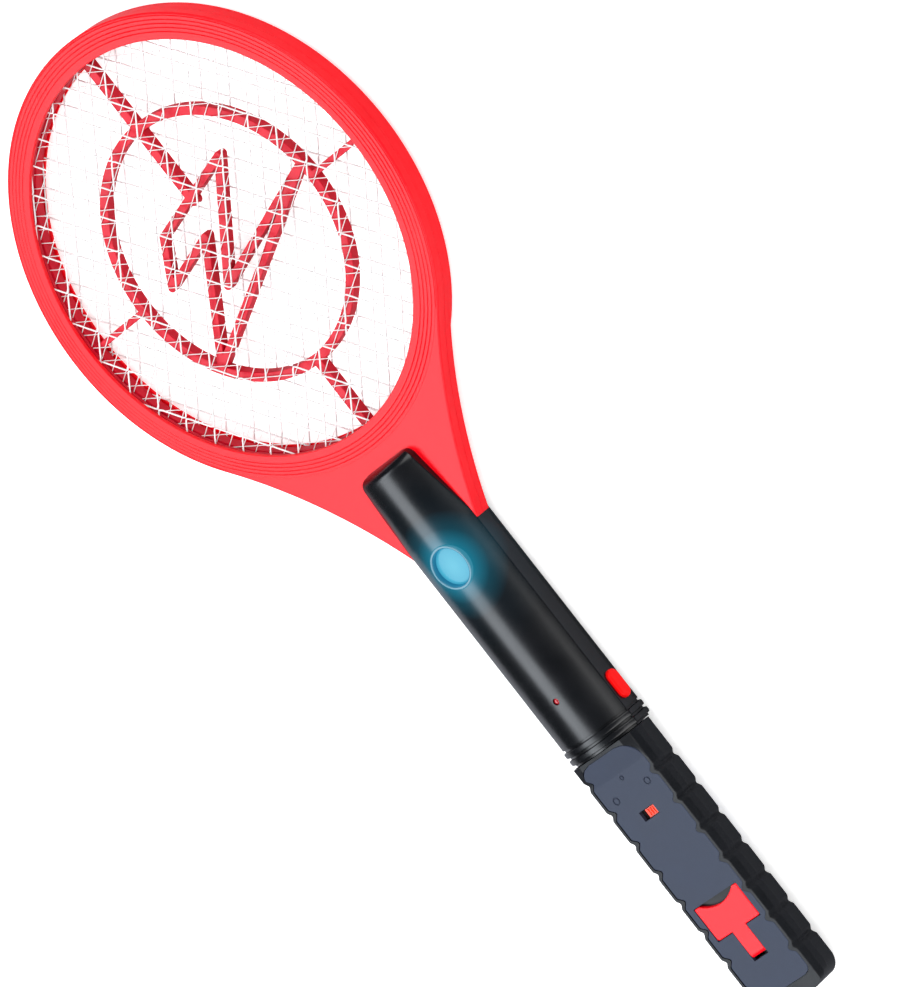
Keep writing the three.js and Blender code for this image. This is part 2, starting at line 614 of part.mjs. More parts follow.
function tactSwitch() {
  const face = flangeInner - BUTTON_TRAVEL - GAP;
  const [depth, length, height] = TACT_SWITCH;
  const back = face - 0.6;
  const foot = BOARD_TOP + GAP;
  const body = box(
    [back - depth, back], [BUTTON_Y - length / 2, BUTTON_Y + length / 2], [foot, foot + height]);
  const plunger = box([face - 1, face], [BUTTON_Y - 1, BUTTON_Y + 1], [BOARD_TOP + 1.4, BOARD_TOP + 3.2]);
  return join(body, plunger);
}

// ---- Electronics in the body --------------------------------------------------------------
const boardTop = BODY_TOP - NECK_LENGTH - 14;
const boardEnd = BODY_END + 6;
const boardHalf = HANDLE_HALF - WALL - 4.8;

const circuitBoard = () => box(
  [-boardHalf, boardHalf], [boardEnd, boardTop], [BOARD_TOP - BOARD_THICKNESS, BOARD_TOP]);

function transformer() {
  const [x, y] = [0, boardTop - 14];
  const foot = BOARD_TOP + GAP;
  const core = box([x - 7, x + 7], [y - 6.5, y + 6.5], [foot + 1.4, foot + 7.6]);
  const winding = box([x - 5, x + 5], [y - 8, y + 8], [foot, foot + 8.8]);
  return join(core, winding);
}

function capacitor() {
  const y = boardTop - 32;
  const [width, length, height] = CAPACITOR;
  const foot = BOARD_TOP + GAP;
  return box([-width / 2, width / 2], [y - length / 2, y + length / 2], [foot, foot + height]);
}

function lead(side) {
  const section = arc([side * LEAD_X, 0], LEAD_RADIUS, 0, 315, 7);
  return along(section, -SEAT_RADIUS, boardTop - 3);
}

// ---- Grip ---------------------------------------------------------------------------------

// Right half of the grip's cross-section, from the front's middle to the back's middle.
const gripRight = [
  [0, CROWN - 0.2], [HANDLE_HALF - 8, CROWN - 1.1], [HANDLE_HALF - 2.7, PLATE_HEIGHT + 0.2],
  [HANDLE_HALF - 1, FLAT_HALF + 2.2], [HANDLE_HALF, FLAT_HALF - 0.8], [HANDLE_HALF, -FLAT_HALF + 0.6],
  [HANDLE_HALF - 1.6, -BACK + 3.9], [HANDLE_HALF - 5.2, -BACK + 0.9], [HANDLE_HALF - 8.5, -BACK],
];
const gripSection = [...gripRight, ...mirrored(gripRight)];

const cavityHalf = HANDLE_HALF - GRIP_WALL;
const cavityRight = [
  [HANDLE_HALF - 5.6, CAVITY_TOP], [cavityHalf, CAVITY_TOP - 3.7], [cavityHalf, -FLAT_HALF + 1],
  [cavityHalf - 1.8, -BACK + 4.9], [HANDLE_HALF - 8.4, -BACK + GRIP_WALL],
];
const cavitySection = [...cavityRight, ...mirrored(cavityRight)];

// Cutters for the finger grooves, staggered from side to side.
function fingerGrooves() {
  const face = HANDLE_HALF - FINGER_DEPTH;
  const outside = HANDLE_HALF + 5;
  const section = [
    [PLATE_HALF - 0.9, FAR], [PLATE_HALF - 0.9, SHELF + 0.7], [face - 1.8, FLAT_HALF + 2],
    [face, FLAT_HALF - 1], [face, -FLAT_HALF + 0.8], [face - 1, -BACK + 4.6], [HANDLE_HALF - 2, -BACK + 3.2],
    [outside, -BACK + 3.2], [outside, FAR],
  ];
  const grooves = [];
  for (const [side, start] of [[1, FINGER_START_RIGHT], [-1, FINGER_START_LEFT]]) {
    const outline = side > 0 ? section : mirrored(section);
    for (let y = GRIP_TOP - start; y > HANDLE_END + 10; y -= FINGER_PITCH) {
      grooves.push(along(outline, y + FINGER_WIDTH / 2, y - FINGER_WIDTH / 2));
    }
  }
  return grooves;
}

// The plate's plan, grown by a margin, and its side view between two offsets from its front.
function plateOutline(grow) {
  const half = PLATE_HALF + grow;
  const topCentre = [half - PLATE_CORNER, RAMP_TOP_Y + grow - PLATE_CORNER];
  const endCentre = [half - PLATE_END_CORNER, PLATE_END - grow + PLATE_END_CORNER];
  const right = [
    ...arc(endCentre, PLATE_END_CORNER, -90, 0, 4), ...arc(topCentre, PLATE_CORNER, 0, 90, 6)];
  return [...right, ...mirrored(right)];
}

function plateProfile(upper, lower) {
  const line = [
    [HANDLE_END - 5, 0], [RAMP_FOOT_Y, 0], [RAMP_TOP_Y, RAMP_RISE], [RAMP_TOP_Y + 5, RAMP_RISE * 1.5]];
  const raise = (offset) => line.map(([y, z]) => [y, PLATE_HEIGHT + z + offset]);
  return [...raise(-lower), ...raise(upper).reverse()];
}

const gripOutline = (() => {
  const centre = [HANDLE_HALF + 0.5 - GRIP_CORNER, HANDLE_END + GRIP_CORNER];
  const right = [...arc(centre, GRIP_CORNER, -90, 0, 6), [HANDLE_HALF + 0.5, GRIP_TOP]];
  return [...right, ...mirrored(right)];
})();

const gripScrews = [[0, GRIP_TOP - 16], [0, HANDLE_END + 14]];

function gripShell(side) {
  const front = side > 0;
  const reach = CROWN + 1;
  const outer = common(
    along(gripSection, GRIP_TOP, HANDLE_END), plan(gripOutline, -reach, reach),
    front ? above(PARTING + GAP / 2) : below(PARTING - GAP / 2));
  const cavity = along(cavitySection, GRIP_TOP + 1, HANDLE_END + GRIP_WALL);
  const bosses = gripScrews.map((place) => {
    const column = front ? [PARTING + GAP / 2, SHELF - 0.5] : [-BACK + 1, PARTING - GAP / 2];
    return disc(GRIP_BOSS_RADIUS, column, place, 10);
  });
  return cut(join(cut(outer, cavity), ...bosses), ...fingerGrooves());
}

// The slide switch's window, through plate and shell.
function switchHole() {
  const [width, height] = SWITCH_WINDOW;
  return box([-width / 2, width / 2], [SWITCH_Y - height / 2, SWITCH_Y + height / 2], [0, FAR]);
}

function gripFront() {
  const recess = common(
    plan(plateOutline(GAP), 0, CROWN + 5), across(plateProfile(CROWN, PLATE_THICKNESS + GAP), FAR));
  const trim = box([-FAR, FAR], [HANDLE_END - 1, RAMP_FOOT_Y], [PLATE_HEIGHT + 0.2, FAR]);
  const wall = BAY_WALL;
  const tub = box(
    [-BAY_HALF - wall, BAY_HALF + wall], [BAY_FOOT_Y - wall, BAY_TOP_Y + wall],
    [BAY_FLOOR - wall, SHELF - 0.1]);
  const [blockX, blockY] = HINGE_BLOCK_HALF;
  const hingeBlock = box(
    [-blockX, blockX], [HINGE_Y - blockY, HINGE_Y + blockY], [HINGE_Z - blockY, SHELF - 0.1]);
  const bay = box([-BAY_HALF, BAY_HALF], [BAY_FOOT_Y, BAY_TOP_Y], [BAY_FLOOR, FAR]);
  const [portWidth, portHeight] = PORT_SIZE;
  const portHole = box(
    [-portWidth / 2 - GAP, portWidth / 2 + GAP],
    [PORT_Y - portHeight / 2 - GAP, PORT_Y + portHeight / 2 + GAP], [0, BAY_FLOOR + 1]);
  const knucklePocket = box(
    [-COVER_STEM_HALF - GAP, COVER_STEM_HALF + GAP], [HINGE_Y - 3.4, HINGE_Y + KNUCKLE_RADIUS + 1.2],
    [HINGE_Z - KNUCKLE_RADIUS - GAP, FAR]);
  const pinSlot = box([-PIN_HALF - GAP, PIN_HALF + GAP], [HINGE_Y - 1, HINGE_Y + 1], [HINGE_Z - 1, FAR]);
  const pilots = gripScrews.map((place) => disc(SCREW_SHANK_RADIUS + GAP, [-FAR, SHELF - 3], place, 8));
  const solid = join(cut(gripShell(1), recess, trim), tub, hingeBlock);
  return cut(solid, bay, portHole, knucklePocket, pinSlot, switchHole(), ...pilots);
}

const gripRear = () => cut(gripShell(-1), ...gripScrews.map(screwBore));

function gripPlate() {
  const sheet = common(
    plan(plateOutline(0), 0, CROWN + 5), across(plateProfile(0, PLATE_THICKNESS), FAR));
  const doorway = box(
    [-COVER_HALF - GAP, COVER_HALF + GAP], [COVER_FOOT_Y - GAP, COVER_TOP_Y + GAP], [0, FAR]);
  const stemway = box(
    [-COVER_STEM_HALF - GAP, COVER_STEM_HALF + GAP], [HINGE_Y - 3.5, COVER_FOOT_Y], [0, FAR]);
  const marks = MARKS.map(([x, offset, radius]) => (
    disc(radius, [PLATE_HEIGHT - 0.5, PLATE_HEIGHT + 1], [x, GRIP_TOP - offset], 8)));
  return cut(sheet, switchHole(), doorway, stemway, ...marks, ...fingerGrooves());
}

// ---- Slide switch -------------------------------------------------------------------------
function switchKnob() {
  const [width, height] = SWITCH_KNOB;
  const right = SWITCH_WINDOW[0] / 2 - GAP;
  return box(
    [right - width, right], [SWITCH_Y - height / 2, SWITCH_Y + height / 2],
    [CAVITY_TOP, PLATE_HEIGHT - 0.2]);
}

function switchBody() {
  const [width, length, height] = SWITCH_BODY;
  const top = CAVITY_TOP - GAP;
  return box(
    [-width / 2, width / 2], [SWITCH_Y - length / 2, SWITCH_Y + length / 2], [top - height, top]);
}

// ---- Charging cover, its pin, the port and its board --------------------------------------
function chargeCover() {
  const sag = SCOOP_DEPTH;
  const scoopRadius = (SCOOP_HALF ** 2 + sag ** 2) / (2 * sag);
  const scoopReach = THREE.MathUtils.radToDeg(Math.asin(SCOOP_HALF / scoopRadius));
  const scoopCentre = [0, COVER_TOP_Y + scoopRadius - sag];
  const panel = [
    [-COVER_HALF, COVER_FOOT_Y], [COVER_HALF, COVER_FOOT_Y], [COVER_HALF, COVER_TOP_Y],
    ...arc(scoopCentre, scoopRadius, 270 + scoopReach, 270 - scoopReach, 8), [-COVER_HALF, COVER_TOP_Y],
  ];
  const under = PLATE_HEIGHT - PLATE_THICKNESS;
  const door = plan(panel, under, PLATE_HEIGHT);
  const stem = box([-COVER_STEM_HALF, COVER_STEM_HALF], [HINGE_Y, COVER_FOOT_Y + 1], [under, PLATE_HEIGHT]);
  const knuckle = across(arc([HINGE_Y, HINGE_Z], KNUCKLE_RADIUS, 0, 337.5, 15), COVER_STEM_HALF);
  const heelArc = arc([HINGE_Y, HINGE_Z], PLATE_HEIGHT - HINGE_Z, 90, 135, 4);
  const heel = across([...heelArc, [HINGE_Y, HINGE_Z]], COVER_STEM_HALF);
  const bore = across(arc([HINGE_Y, HINGE_Z], PIN_RADIUS + GAP, 0, 330, 11), FAR);
  return cut(join(door, stem, knuckle, heel), bore);
}

const coverPin = () => across(arc([HINGE_Y, HINGE_Z], PIN_RADIUS, 0, 330, 11), PIN_HALF);

function chargePort() {
  const [width, height, depth] = PORT_SIZE;
  const top = BAY_FLOOR;
  const block = (inset, half, low, high) => box(
    [-width / 2 + inset, width / 2 - inset], [PORT_Y - half, PORT_Y + half], [low, high]);
  const can = block(0, height / 2, top - depth, top);
  const mouth = block(0.4, height / 2 - 0.4, top - 5, FAR);
  const tongue = block(1.3, 0.35, top - depth + 0.5, top - 0.8);
  return join(cut(can, mouth), tongue);
}

function chargeBoard() {
  const top = BAY_FLOOR - PORT_SIZE[2] - GAP;
  const half = CHARGE_BOARD_HALF;
  return box([-half, half], [PORT_Y - half - 1, PORT_Y + half], [top - BOARD_THICKNESS, top]);
}

// ---- Battery ------------------------------------------------------------------------------
const cellTop = SWITCH_Y + 7;
function batteryCell(side) {
  const x = side * (CELL_RADIUS + GAP / 2);
  return along(arc([x, CELL_Z], CELL_RADIUS, 0, 330, 11), cellTop, cellTop - CELL_LENGTH);
}

function batteryStrap(y) {
  const half = 1.6 * CELL_RADIUS;
  return box([-half, half], [y - 0.2, y + 0.2], [CELL_Z - 2.5, CELL_Z + 2.5]);
}

// ---- Assembly -----------------------------------------------------------------------------
const racket = new THREE.Group();
racket.position.set(0, (HEAD_RADIUS + HANDLE_END) / -2, BACK);

function add(name, solid, material) {
  const mesh = new THREE.Mesh(toGeometry(solid), material);
  mesh.name = name;
  racket.add(mesh);
}

add('front_frame', frontFrame(), RED);
add('rear_frame', rearFrame(), RED);
add('front_guard_grid', grid(GUARD_CELL, STRAND, FRONT_GRID_TOP - GRID_THICKNESS), STEEL);
add('grid_spacer', rimRing(2, SPACER_TOP - GRID_SPACER, SPACER_TOP), WEB_RED);
add('charged_grid', grid(CHARGED_CELL, STRAND, CHARGED_TOP - GRID_THICKNESS), STEEL);
add('spacer_web', spacerWeb(), WEB_RED);
add('rear_guard_grid', grid(GUARD_CELL, STRAND, REAR_GRID_BOTTOM), STEEL);
frameScrews.forEach((place, i) => {
  add(`frame_screw_${i + 1}`, screw(place, -RIM_BACK + FRAME_SCREW_SINK, RIM_FRONT - 2.5), STEEL);
});

add('front_shell', frontShell(), BLACK);
add('rear_shell', bodyShell(-1), BLACK);
add('collar', collar(), BLACK);
add('lamp_bezel', lampBezel(), BLACK);
add('lamp_lens', lampLens(), CYAN);
add('lamp_reflector', lampReflector(), CHROME);
add('lamp_led', lampLed(), LAMP_WHITE);
add('indicator_led', indicatorLed(), RED);
add('side_button', sideButton(), RED);
add('tact_switch', tactSwitch(), DARK);
add('circuit_board', circuitBoard(), BOARD_GREEN);
add('transformer', transformer(), AMBER);
add('capacitor', capacitor(), DARK);
add('grid_lead_left', lead(-1), RED);
add('grid_lead_right', lead(1), DARK);

add('grip_front', gripFront(), BLACK);
add('grip_rear', gripRear(), BLACK);
add('grip_plate', gripPlate(), SLATE);
add('switch_knob', switchKnob(), ORANGE);
add('switch_body', switchBody(), STEEL);
add('charge_cover', chargeCover(), RED);
add('cover_pin', coverPin(), STEEL);
add('charge_port', chargePort(), STEEL);
add('charge_board', chargeBoard(), BOARD_GREEN);
add('battery_cell_left', batteryCell(-1), CELL_BLUE);
add('battery_cell_right', batteryCell(1), CELL_BLUE);
add('battery_strap_top', batteryStrap(cellTop + 0.5), STEEL);
add('battery_strap_end', batteryStrap(cellTop - CELL_LENGTH - 0.5), STEEL);

[...throatScrews, bodyScrew, ...gripScrews].forEach((place, i) => {
  add(`handle_screw_${i + 1}`, screw(place, HANDLE_SCREW_FACE, 4), STEEL);
});

export default racket;
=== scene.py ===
"""Electric fly swatter: fine surfaces, finishes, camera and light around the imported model.

Sizes are in millimetres in the row's own frame (+Y to the head's tip, +Z out of the front,
z = 0 on the flat of the back) and become metres when a mesh is made. Places come from the
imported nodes, so a piece follows the node that it stands for.
"""

import logging
import math
from dataclasses import dataclass, field, replace
from enum import Enum
from typing import Any, Iterable, Protocol, Sequence

import bmesh
import bpy
from mathutils import Matrix, Vector


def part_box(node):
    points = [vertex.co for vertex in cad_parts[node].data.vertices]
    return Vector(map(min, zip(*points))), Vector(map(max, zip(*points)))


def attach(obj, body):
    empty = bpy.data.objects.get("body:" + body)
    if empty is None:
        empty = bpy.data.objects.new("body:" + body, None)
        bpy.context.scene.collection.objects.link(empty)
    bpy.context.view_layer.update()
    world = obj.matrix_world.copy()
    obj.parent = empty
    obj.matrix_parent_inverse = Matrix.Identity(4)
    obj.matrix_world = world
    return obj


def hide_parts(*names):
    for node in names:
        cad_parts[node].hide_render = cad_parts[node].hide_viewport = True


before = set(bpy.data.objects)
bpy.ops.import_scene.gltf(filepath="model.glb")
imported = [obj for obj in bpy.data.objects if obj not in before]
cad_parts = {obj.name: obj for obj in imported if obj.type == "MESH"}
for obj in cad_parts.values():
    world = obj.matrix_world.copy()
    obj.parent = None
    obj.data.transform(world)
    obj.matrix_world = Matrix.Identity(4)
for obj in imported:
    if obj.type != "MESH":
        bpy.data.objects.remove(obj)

MM = 0.001
WELD = 1e-6
SMOOTH_ANGLE = math.radians(31)
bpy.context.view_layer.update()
LOG = logging.getLogger("fly_swatter")

Point = tuple[float, float]
Colour = tuple[float, float, float]
Ring = list[Vector]
Outlines = Sequence[tuple[float, Sequence[Point]]]


class Assembly(Protocol):
    """A sub-assembly that main can build."""

    def build(self) -> None:
        """Makes and dresses the sub-assembly's pieces."""


class Join(Enum):
    """How one solid is combined with another."""

    ADD = "UNION"
    CUT = "DIFFERENCE"
    KEEP = "INTERSECT"


class Half(Enum):
    """The two halves that the frame and the handle are moulded in."""

    FRONT = 1
    REAR = -1


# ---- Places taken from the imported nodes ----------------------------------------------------


@dataclass(frozen=True)
class Extent:
    """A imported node's box, in millimetres."""

    low: Vector
    high: Vector

    @classmethod
    def of(cls, node: str) -> "Extent":
        """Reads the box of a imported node.

        Args:
            node: The node's name.

        Returns:
            Its lowest and highest corners in millimetres.
        """
        low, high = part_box(node)
        return cls(low / MM, high / MM)

    @property
    def centre(self) -> Vector:
        """The middle of the box."""
        return (self.low + self.high) / 2

    @property
    def size(self) -> Vector:
        """The box's three lengths."""
        return self.high - self.low


FRONT_FRAME = Extent.of("front_frame")
REAR_FRAME = Extent.of("rear_frame")
FRONT_SHELL = Extent.of("front_shell")
REAR_SHELL = Extent.of("rear_shell")
GRIP_FRONT = Extent.of("grip_front")
PLATE = Extent.of("grip_plate")
COLLAR = Extent.of("collar")
BEZEL = Extent.of("lamp_bezel")
LENS = Extent.of("lamp_lens")
COVER = Extent.of("charge_cover")
PIN = Extent.of("cover_pin")

HEAD_CENTRE = Vector((0, Extent.of("front_guard_grid").centre.y, 0))
HEAD_RADIUS = FRONT_FRAME.high.x
PARTING = (FRONT_FRAME.low.z + REAR_FRAME.high.z) / 2
SHELL_PARTING = (FRONT_SHELL.low.z + REAR_SHELL.high.z) / 2
HANDLE_HALF = FRONT_SHELL.high.x
CROWN = FRONT_SHELL.high.z
BODY_TOP = BEZEL.high.y - 0.1     # the handle body's shoulder, level with the top of the lamp's bezel
BODY_END = COLLAR.high.y
TONGUE_TIP = FRONT_SHELL.high.y
GRIP_TOP = GRIP_FRONT.high.y
HANDLE_END = GRIP_FRONT.low.y
HAIRLINE = 0.18      # gap that shows between two moulded halves
FAR = 400.0          # reach of a cutter that runs past everything
SCREW_BORE = 2.9     # radius of the hole that a screw's head sits in
SCREW_SEAT = 2.0     # how far that hole runs past the head's lowest point
COVER_LENGTH = 16.9  # the charging cover's panel, without its stem
STEM_HALF = 4.4      # half the width of the cover's stem and knuckle


# ---- Solids --------------------------------------------------------------------------------


def turned_point(centre: Point, radius: float, degrees: float) -> Point:
    """The point at an angle on a circle in a plane."""
    angle = math.radians(degrees)
    return (centre[0] + radius * math.cos(angle), centre[1] + radius * math.sin(angle))


def arc(centre: Point, radius: float, start: float, end: float, steps: int) -> list[Point]:
    """Points along an arc.

    Args:
        centre: The arc's centre.
        radius: Its radius.
        start: First angle in degrees.
        end: Last angle in degrees.
        steps: Number of chords.

    Returns:
        steps + 1 points.
    """
    return [turned_point(centre, radius, start + (end - start) * i / steps) for i in range(steps + 1)]


def mirrored(points: Sequence[Point]) -> list[Point]:
    """The points mirrored in the vertical axis, in reverse order."""
    return [(-x, y) for x, y in reversed(points)]


def rounded(points: Sequence[Point], radius: float, steps: int = 4) -> list[Point]:
    """A closed outline with its corners rounded.

    Args:
        points: The outline's corners.
        radius: Corner radius, made smaller where a side is too short for it.
        steps: Chords in each corner.

    Returns:
        The rounded outline, with steps + 1 points for each corner.
    """
    outline: list[Point] = []
    count = len(points)
    for i, corner in enumerate(points):
        here = Vector(corner)
        back = Vector(points[i - 1]) - here
        ahead = Vector(points[(i + 1) % count]) - here
        half_angle = back.angle(ahead) / 2
        reach = min(radius / math.tan(half_angle), 0.48 * back.length, 0.48 * ahead.length)
        true_radius = reach * math.tan(half_angle)
        bisector = (back.normalized() + ahead.normalized()).normalized()
        centre = here + bisector * (true_radius / math.sin(half_angle))
        start = here + back.normalized() * reach - centre
        end = here + ahead.normalized() * reach - centre
        for step in range(steps + 1):
            spoke = start.lerp(end, step / steps).normalized() * true_radius
            outline.append(tuple(centre + spoke))
    return outline


def smoothstep(value: float) -> float:
    """Eases from 0 to 1 as value goes from 0 to 1."""
    t = min(max(value, 0.0), 1.0)
    return t * t * (3 - 2 * t)


def solid_from(bm: bmesh.types.BMesh, name: str) -> bpy.types.Object:
    """Turns a millimetre bmesh into an object in metres, with its faces outwards.

    Args:
        bm: The mesh, which is freed.
        name: The object's name.

    Returns:
        The new object, at the origin.
    """
    for vertex in bm.verts:
        vertex.co *= MM
    bmesh.ops.remove_doubles(bm, verts=bm.verts, dist=WELD)
    bmesh.ops.dissolve_degenerate(bm, edges=bm.edges, dist=WELD)
    bmesh.ops.recalc_face_normals(bm, faces=bm.faces)
    mesh = bpy.data.meshes.new(name)
    bm.to_mesh(mesh)
    bm.free()
    piece = bpy.data.objects.new(name, mesh)
    bpy.context.scene.collection.objects.link(piece)
    return piece


def loft(name: str, rings: Sequence[Ring], closed: bool = False) -> bpy.types.Object:
    """A skin through rings of equal length, capped at both ends.

    Args:
        name: The object's name.
        rings: The rings, in order.
        closed: True where the last ring joins the first, so that there are no caps.

    Returns:
        The lofted solid.
    """
    bm = bmesh.new()
    levels = [[bm.verts.new(point) for point in ring] for ring in rings]
    pairs = list(zip(levels, levels[1:] + ([levels[0]] if closed else [])))
    for lower, upper in pairs:
        for i, vertex in enumerate(lower):
            before = i - 1
            bm.faces.new((lower[before], vertex, upper[i], upper[before]))
    if not closed:
        bm.faces.new(levels[0])
        bm.faces.new(levels[-1])
    return solid_from(bm, name)


def lathe(name: str, profile: Sequence[Point], centre: Vector, steps: int = 96) -> bpy.types.Object:
    """A closed profile of (radius, z) points turned about an upright line.

    Args:
        name: The object's name.
        profile: The profile's points.
        centre: A point on the line.
        steps: Number of facets round it.

    Returns:
        The turned solid.
    """
    rings = []
    for i in range(steps):
        angle = math.tau * i / steps
        spoke = Vector((math.cos(angle), math.sin(angle), 0))
        rings.append([Vector((centre.x, centre.y, z)) + spoke * radius for radius, z in profile])
    return loft(name, rings, closed=True)


def layers(name: str, outlines: Outlines) -> bpy.types.Object:
    """A solid through plan outlines of equal length at given heights."""
    return loft(name, [[Vector((x, y, z)) for x, y in outline] for z, outline in outlines])


def sideways(name: str, outlines: Outlines) -> bpy.types.Object:
    """A solid through side-view outlines, drawn as (y, z), at given x."""
    return loft(name, [[Vector((x, y, z)) for y, z in outline] for x, outline in outlines])


def block(name: str, low: Sequence[float], high: Sequence[float]) -> bpy.types.Object:
    """A box between two corners."""
    outline = [(low[0], low[1]), (high[0], low[1]), (high[0], high[1]), (low[0], high[1])]
    return layers(name, [(low[2], outline), (high[2], outline)])


def rod(
        name: str, centre: Vector, radius: float, low: float, high: float,
        steps: int = 48) -> bpy.types.Object:
    """An upright rod between two heights."""
    outline = arc((centre.x, centre.y), radius, 0, 360 - 360 / steps, steps - 1)
    return layers(name, [(low, outline), (high, outline)])


def screw_bores(group: str, numbers: Iterable[int]) -> list[bpy.types.Object]:
    """Cutters for the holes that screws are driven in through from the back.

    Args:
        group: The name that the screws' nodes share.
        numbers: Their numbers.

    Returns:
        One cutter for each screw.
    """
    screws = [Extent.of(f"{group}_{number}") for number in numbers]
    return [rod("bore", screw.centre, SCREW_BORE, -FAR, screw.low.z + SCREW_SEAT, 24) for screw in screws]


def evaluated_mesh(piece: bpy.types.Object) -> None:
    """Replaces a piece's mesh by what its modifiers make of it, and drops the modifiers.

    Args:
        piece: The piece that changes.
    """
    graph = bpy.context.evaluated_depsgraph_get()
    mesh = bpy.data.meshes.new_from_object(
        piece.evaluated_get(graph), preserve_all_data_layers=True, depsgraph=graph)
    piece.modifiers.clear()
    piece.data = mesh


def combine(base: bpy.types.Object, how: Join, tools: Iterable[bpy.types.Object]) -> bpy.types.Object:
    """Joins, cuts or crosses a solid with others, which are used up.

    Args:
        base: The solid that changes.
        how: What is done with each of the others.
        tools: The other solids.

    Returns:
        The same base.
    """
    tools = list(tools)
    for tool in tools:
        modifier = base.modifiers.new("combine", "BOOLEAN")
        modifier.operation = how.value
        modifier.solver = "EXACT"
        modifier.object = tool
    evaluated_mesh(base)
    for tool in tools:
        bpy.data.objects.remove(tool)
    return base


def eased(piece: bpy.types.Object, width: float = 0.0, crease: float = SMOOTH_ANGLE) -> bpy.types.Object:
    """Rounds a piece's sharp edges and gives it smooth shading with crisp creases.

    Args:
        piece: The solid to finish.
        width: Edge radius; 0 leaves the edges as they are.
        crease: Angle above which an edge stays crisp.

    Returns:
        The same piece.
    """
    for polygon in piece.data.polygons:
        polygon.use_smooth = True
    if width:
        bevel = piece.modifiers.new("edges", "BEVEL")
        bevel.width = width * MM
        bevel.segments = 2
        bevel.limit_method = "ANGLE"
        bevel.angle_limit = SMOOTH_ANGLE
        evaluated_mesh(piece)
    piece.data.set_sharp_from_angle(angle=crease)
    weighted = piece.modifiers.new("shading", "WEIGHTED_NORMAL")
    weighted.keep_sharp = True
    evaluated_mesh(piece)
    return piece


# ---- Node trees ----------------------------------------------------------------------------


class Tree:
    """A node tree that is written as a list of calls."""

    def __init__(self, tree: bpy.types.NodeTree) -> None:
        """Starts writing into a node tree."""
        self.tree = tree

    def add(self, kind: str, inputs: dict[Any, Any] | None = None, **settings: Any) -> bpy.types.Node:
        """Adds a node.

        Args:
            kind: The node's type.
            inputs: Values or sockets for its inputs, by name or number.
            **settings: Properties of the node itself.

        Returns:
            The node.
        """
        node = self.tree.nodes.new(kind)
        for key, value in settings.items():
            setattr(node, key, value)
        for key, value in (inputs or {}).items():
            self.feed(node.inputs[key], value)
        return node

    def feed(self, socket: bpy.types.NodeSocket, value: Any) -> None:
        """Links a socket to an input, or sets the input's own value.

        Args:
            socket: The input.
            value: The socket or the plain value that it gets.
        """
        if isinstance(value, bpy.types.NodeSocket):
            self.tree.links.new(value, socket)
        else:
            socket.default_value = value


class GeometryTree(Tree):
    """A Geometry Nodes tree with named inputs."""

    KINDS = {float: "NodeSocketFloat", int: "NodeSocketInt", bpy.types.Material: "NodeSocketMaterial"}

    def __init__(self, name: str, inputs: dict[str, Any]) -> None:
        """Makes the tree.

        Args:
            name: The tree's name.
            inputs: The value of each named input.
        """
        super().__init__(bpy.data.node_groups.new(name, "GeometryNodeTree"))
        self.values = inputs
        face = self.tree.interface
        face.new_socket("Geometry", in_out="INPUT", socket_type="NodeSocketGeometry")
        self.sockets = {
            title: face.new_socket(title, in_out="INPUT", socket_type=self.KINDS[type(value)])
            for title, value in inputs.items()}
        face.new_socket("Geometry", in_out="OUTPUT", socket_type="NodeSocketGeometry")
        self.start = self.add("NodeGroupInput").outputs

    def math(self, operation: str, first: Any, second: Any = 0.0) -> bpy.types.NodeSocket:
        """One step of arithmetic."""
        return self.add("ShaderNodeMath", {0: first, 1: second}, operation=operation).outputs[0]

    def vector(self, x: Any = 0.0, y: Any = 0.0, z: Any = 0.0) -> bpy.types.NodeSocket:
        """A vector from three values."""
        return self.add("ShaderNodeCombineXYZ", {"X": x, "Y": y, "Z": z}).outputs[0]

    def end(self, geometry: bpy.types.NodeSocket) -> None:
        """Realizes the instances, sets the material and closes the tree.

        Args:
            geometry: What the tree has made.
        """
        real = self.add("GeometryNodeRealizeInstances", {"Geometry": geometry})
        dressed = self.add("GeometryNodeSetMaterial", {
            "Geometry": real.outputs[0], "Material": self.start["Material"]})
        self.add("NodeGroupOutput", {0: dressed.outputs[0]})

    def mesh(self, name: str, places: Sequence[Vector] = ()) -> bpy.types.Object:
        """Runs the tree and keeps its result as a plain mesh.

        Args:
            name: The piece's name.
            places: Points that the tree starts from, in millimetres.

        Returns:
            The piece, with no modifier left on it.
        """
        seed = bpy.data.meshes.new(name)
        seed.from_pydata([place * MM for place in places], [], [])
        piece = bpy.data.objects.new(name, seed)
        bpy.context.scene.collection.objects.link(piece)
        modifier = piece.modifiers.new("build", "NODES")
        modifier.node_group = self.tree
        for title, socket in self.sockets.items():
            modifier[socket.identifier] = self.values[title]
        evaluated_mesh(piece)
        return piece


# ---- Finishes ------------------------------------------------------------------------------


@dataclass(frozen=True)
class Glow:
    """Lamp light painted into a part's colour as emission, strongest at a point and gone at a reach. On the
    lamp's lens and bezel and on the LEDs it is their own light; on the black shell it is a painted pool of
    the lamp's light.
    """

    place: tuple[float, float, float]
    reach: float
    colours: tuple[tuple[float, Colour], ...]
    strength: float = 1.0


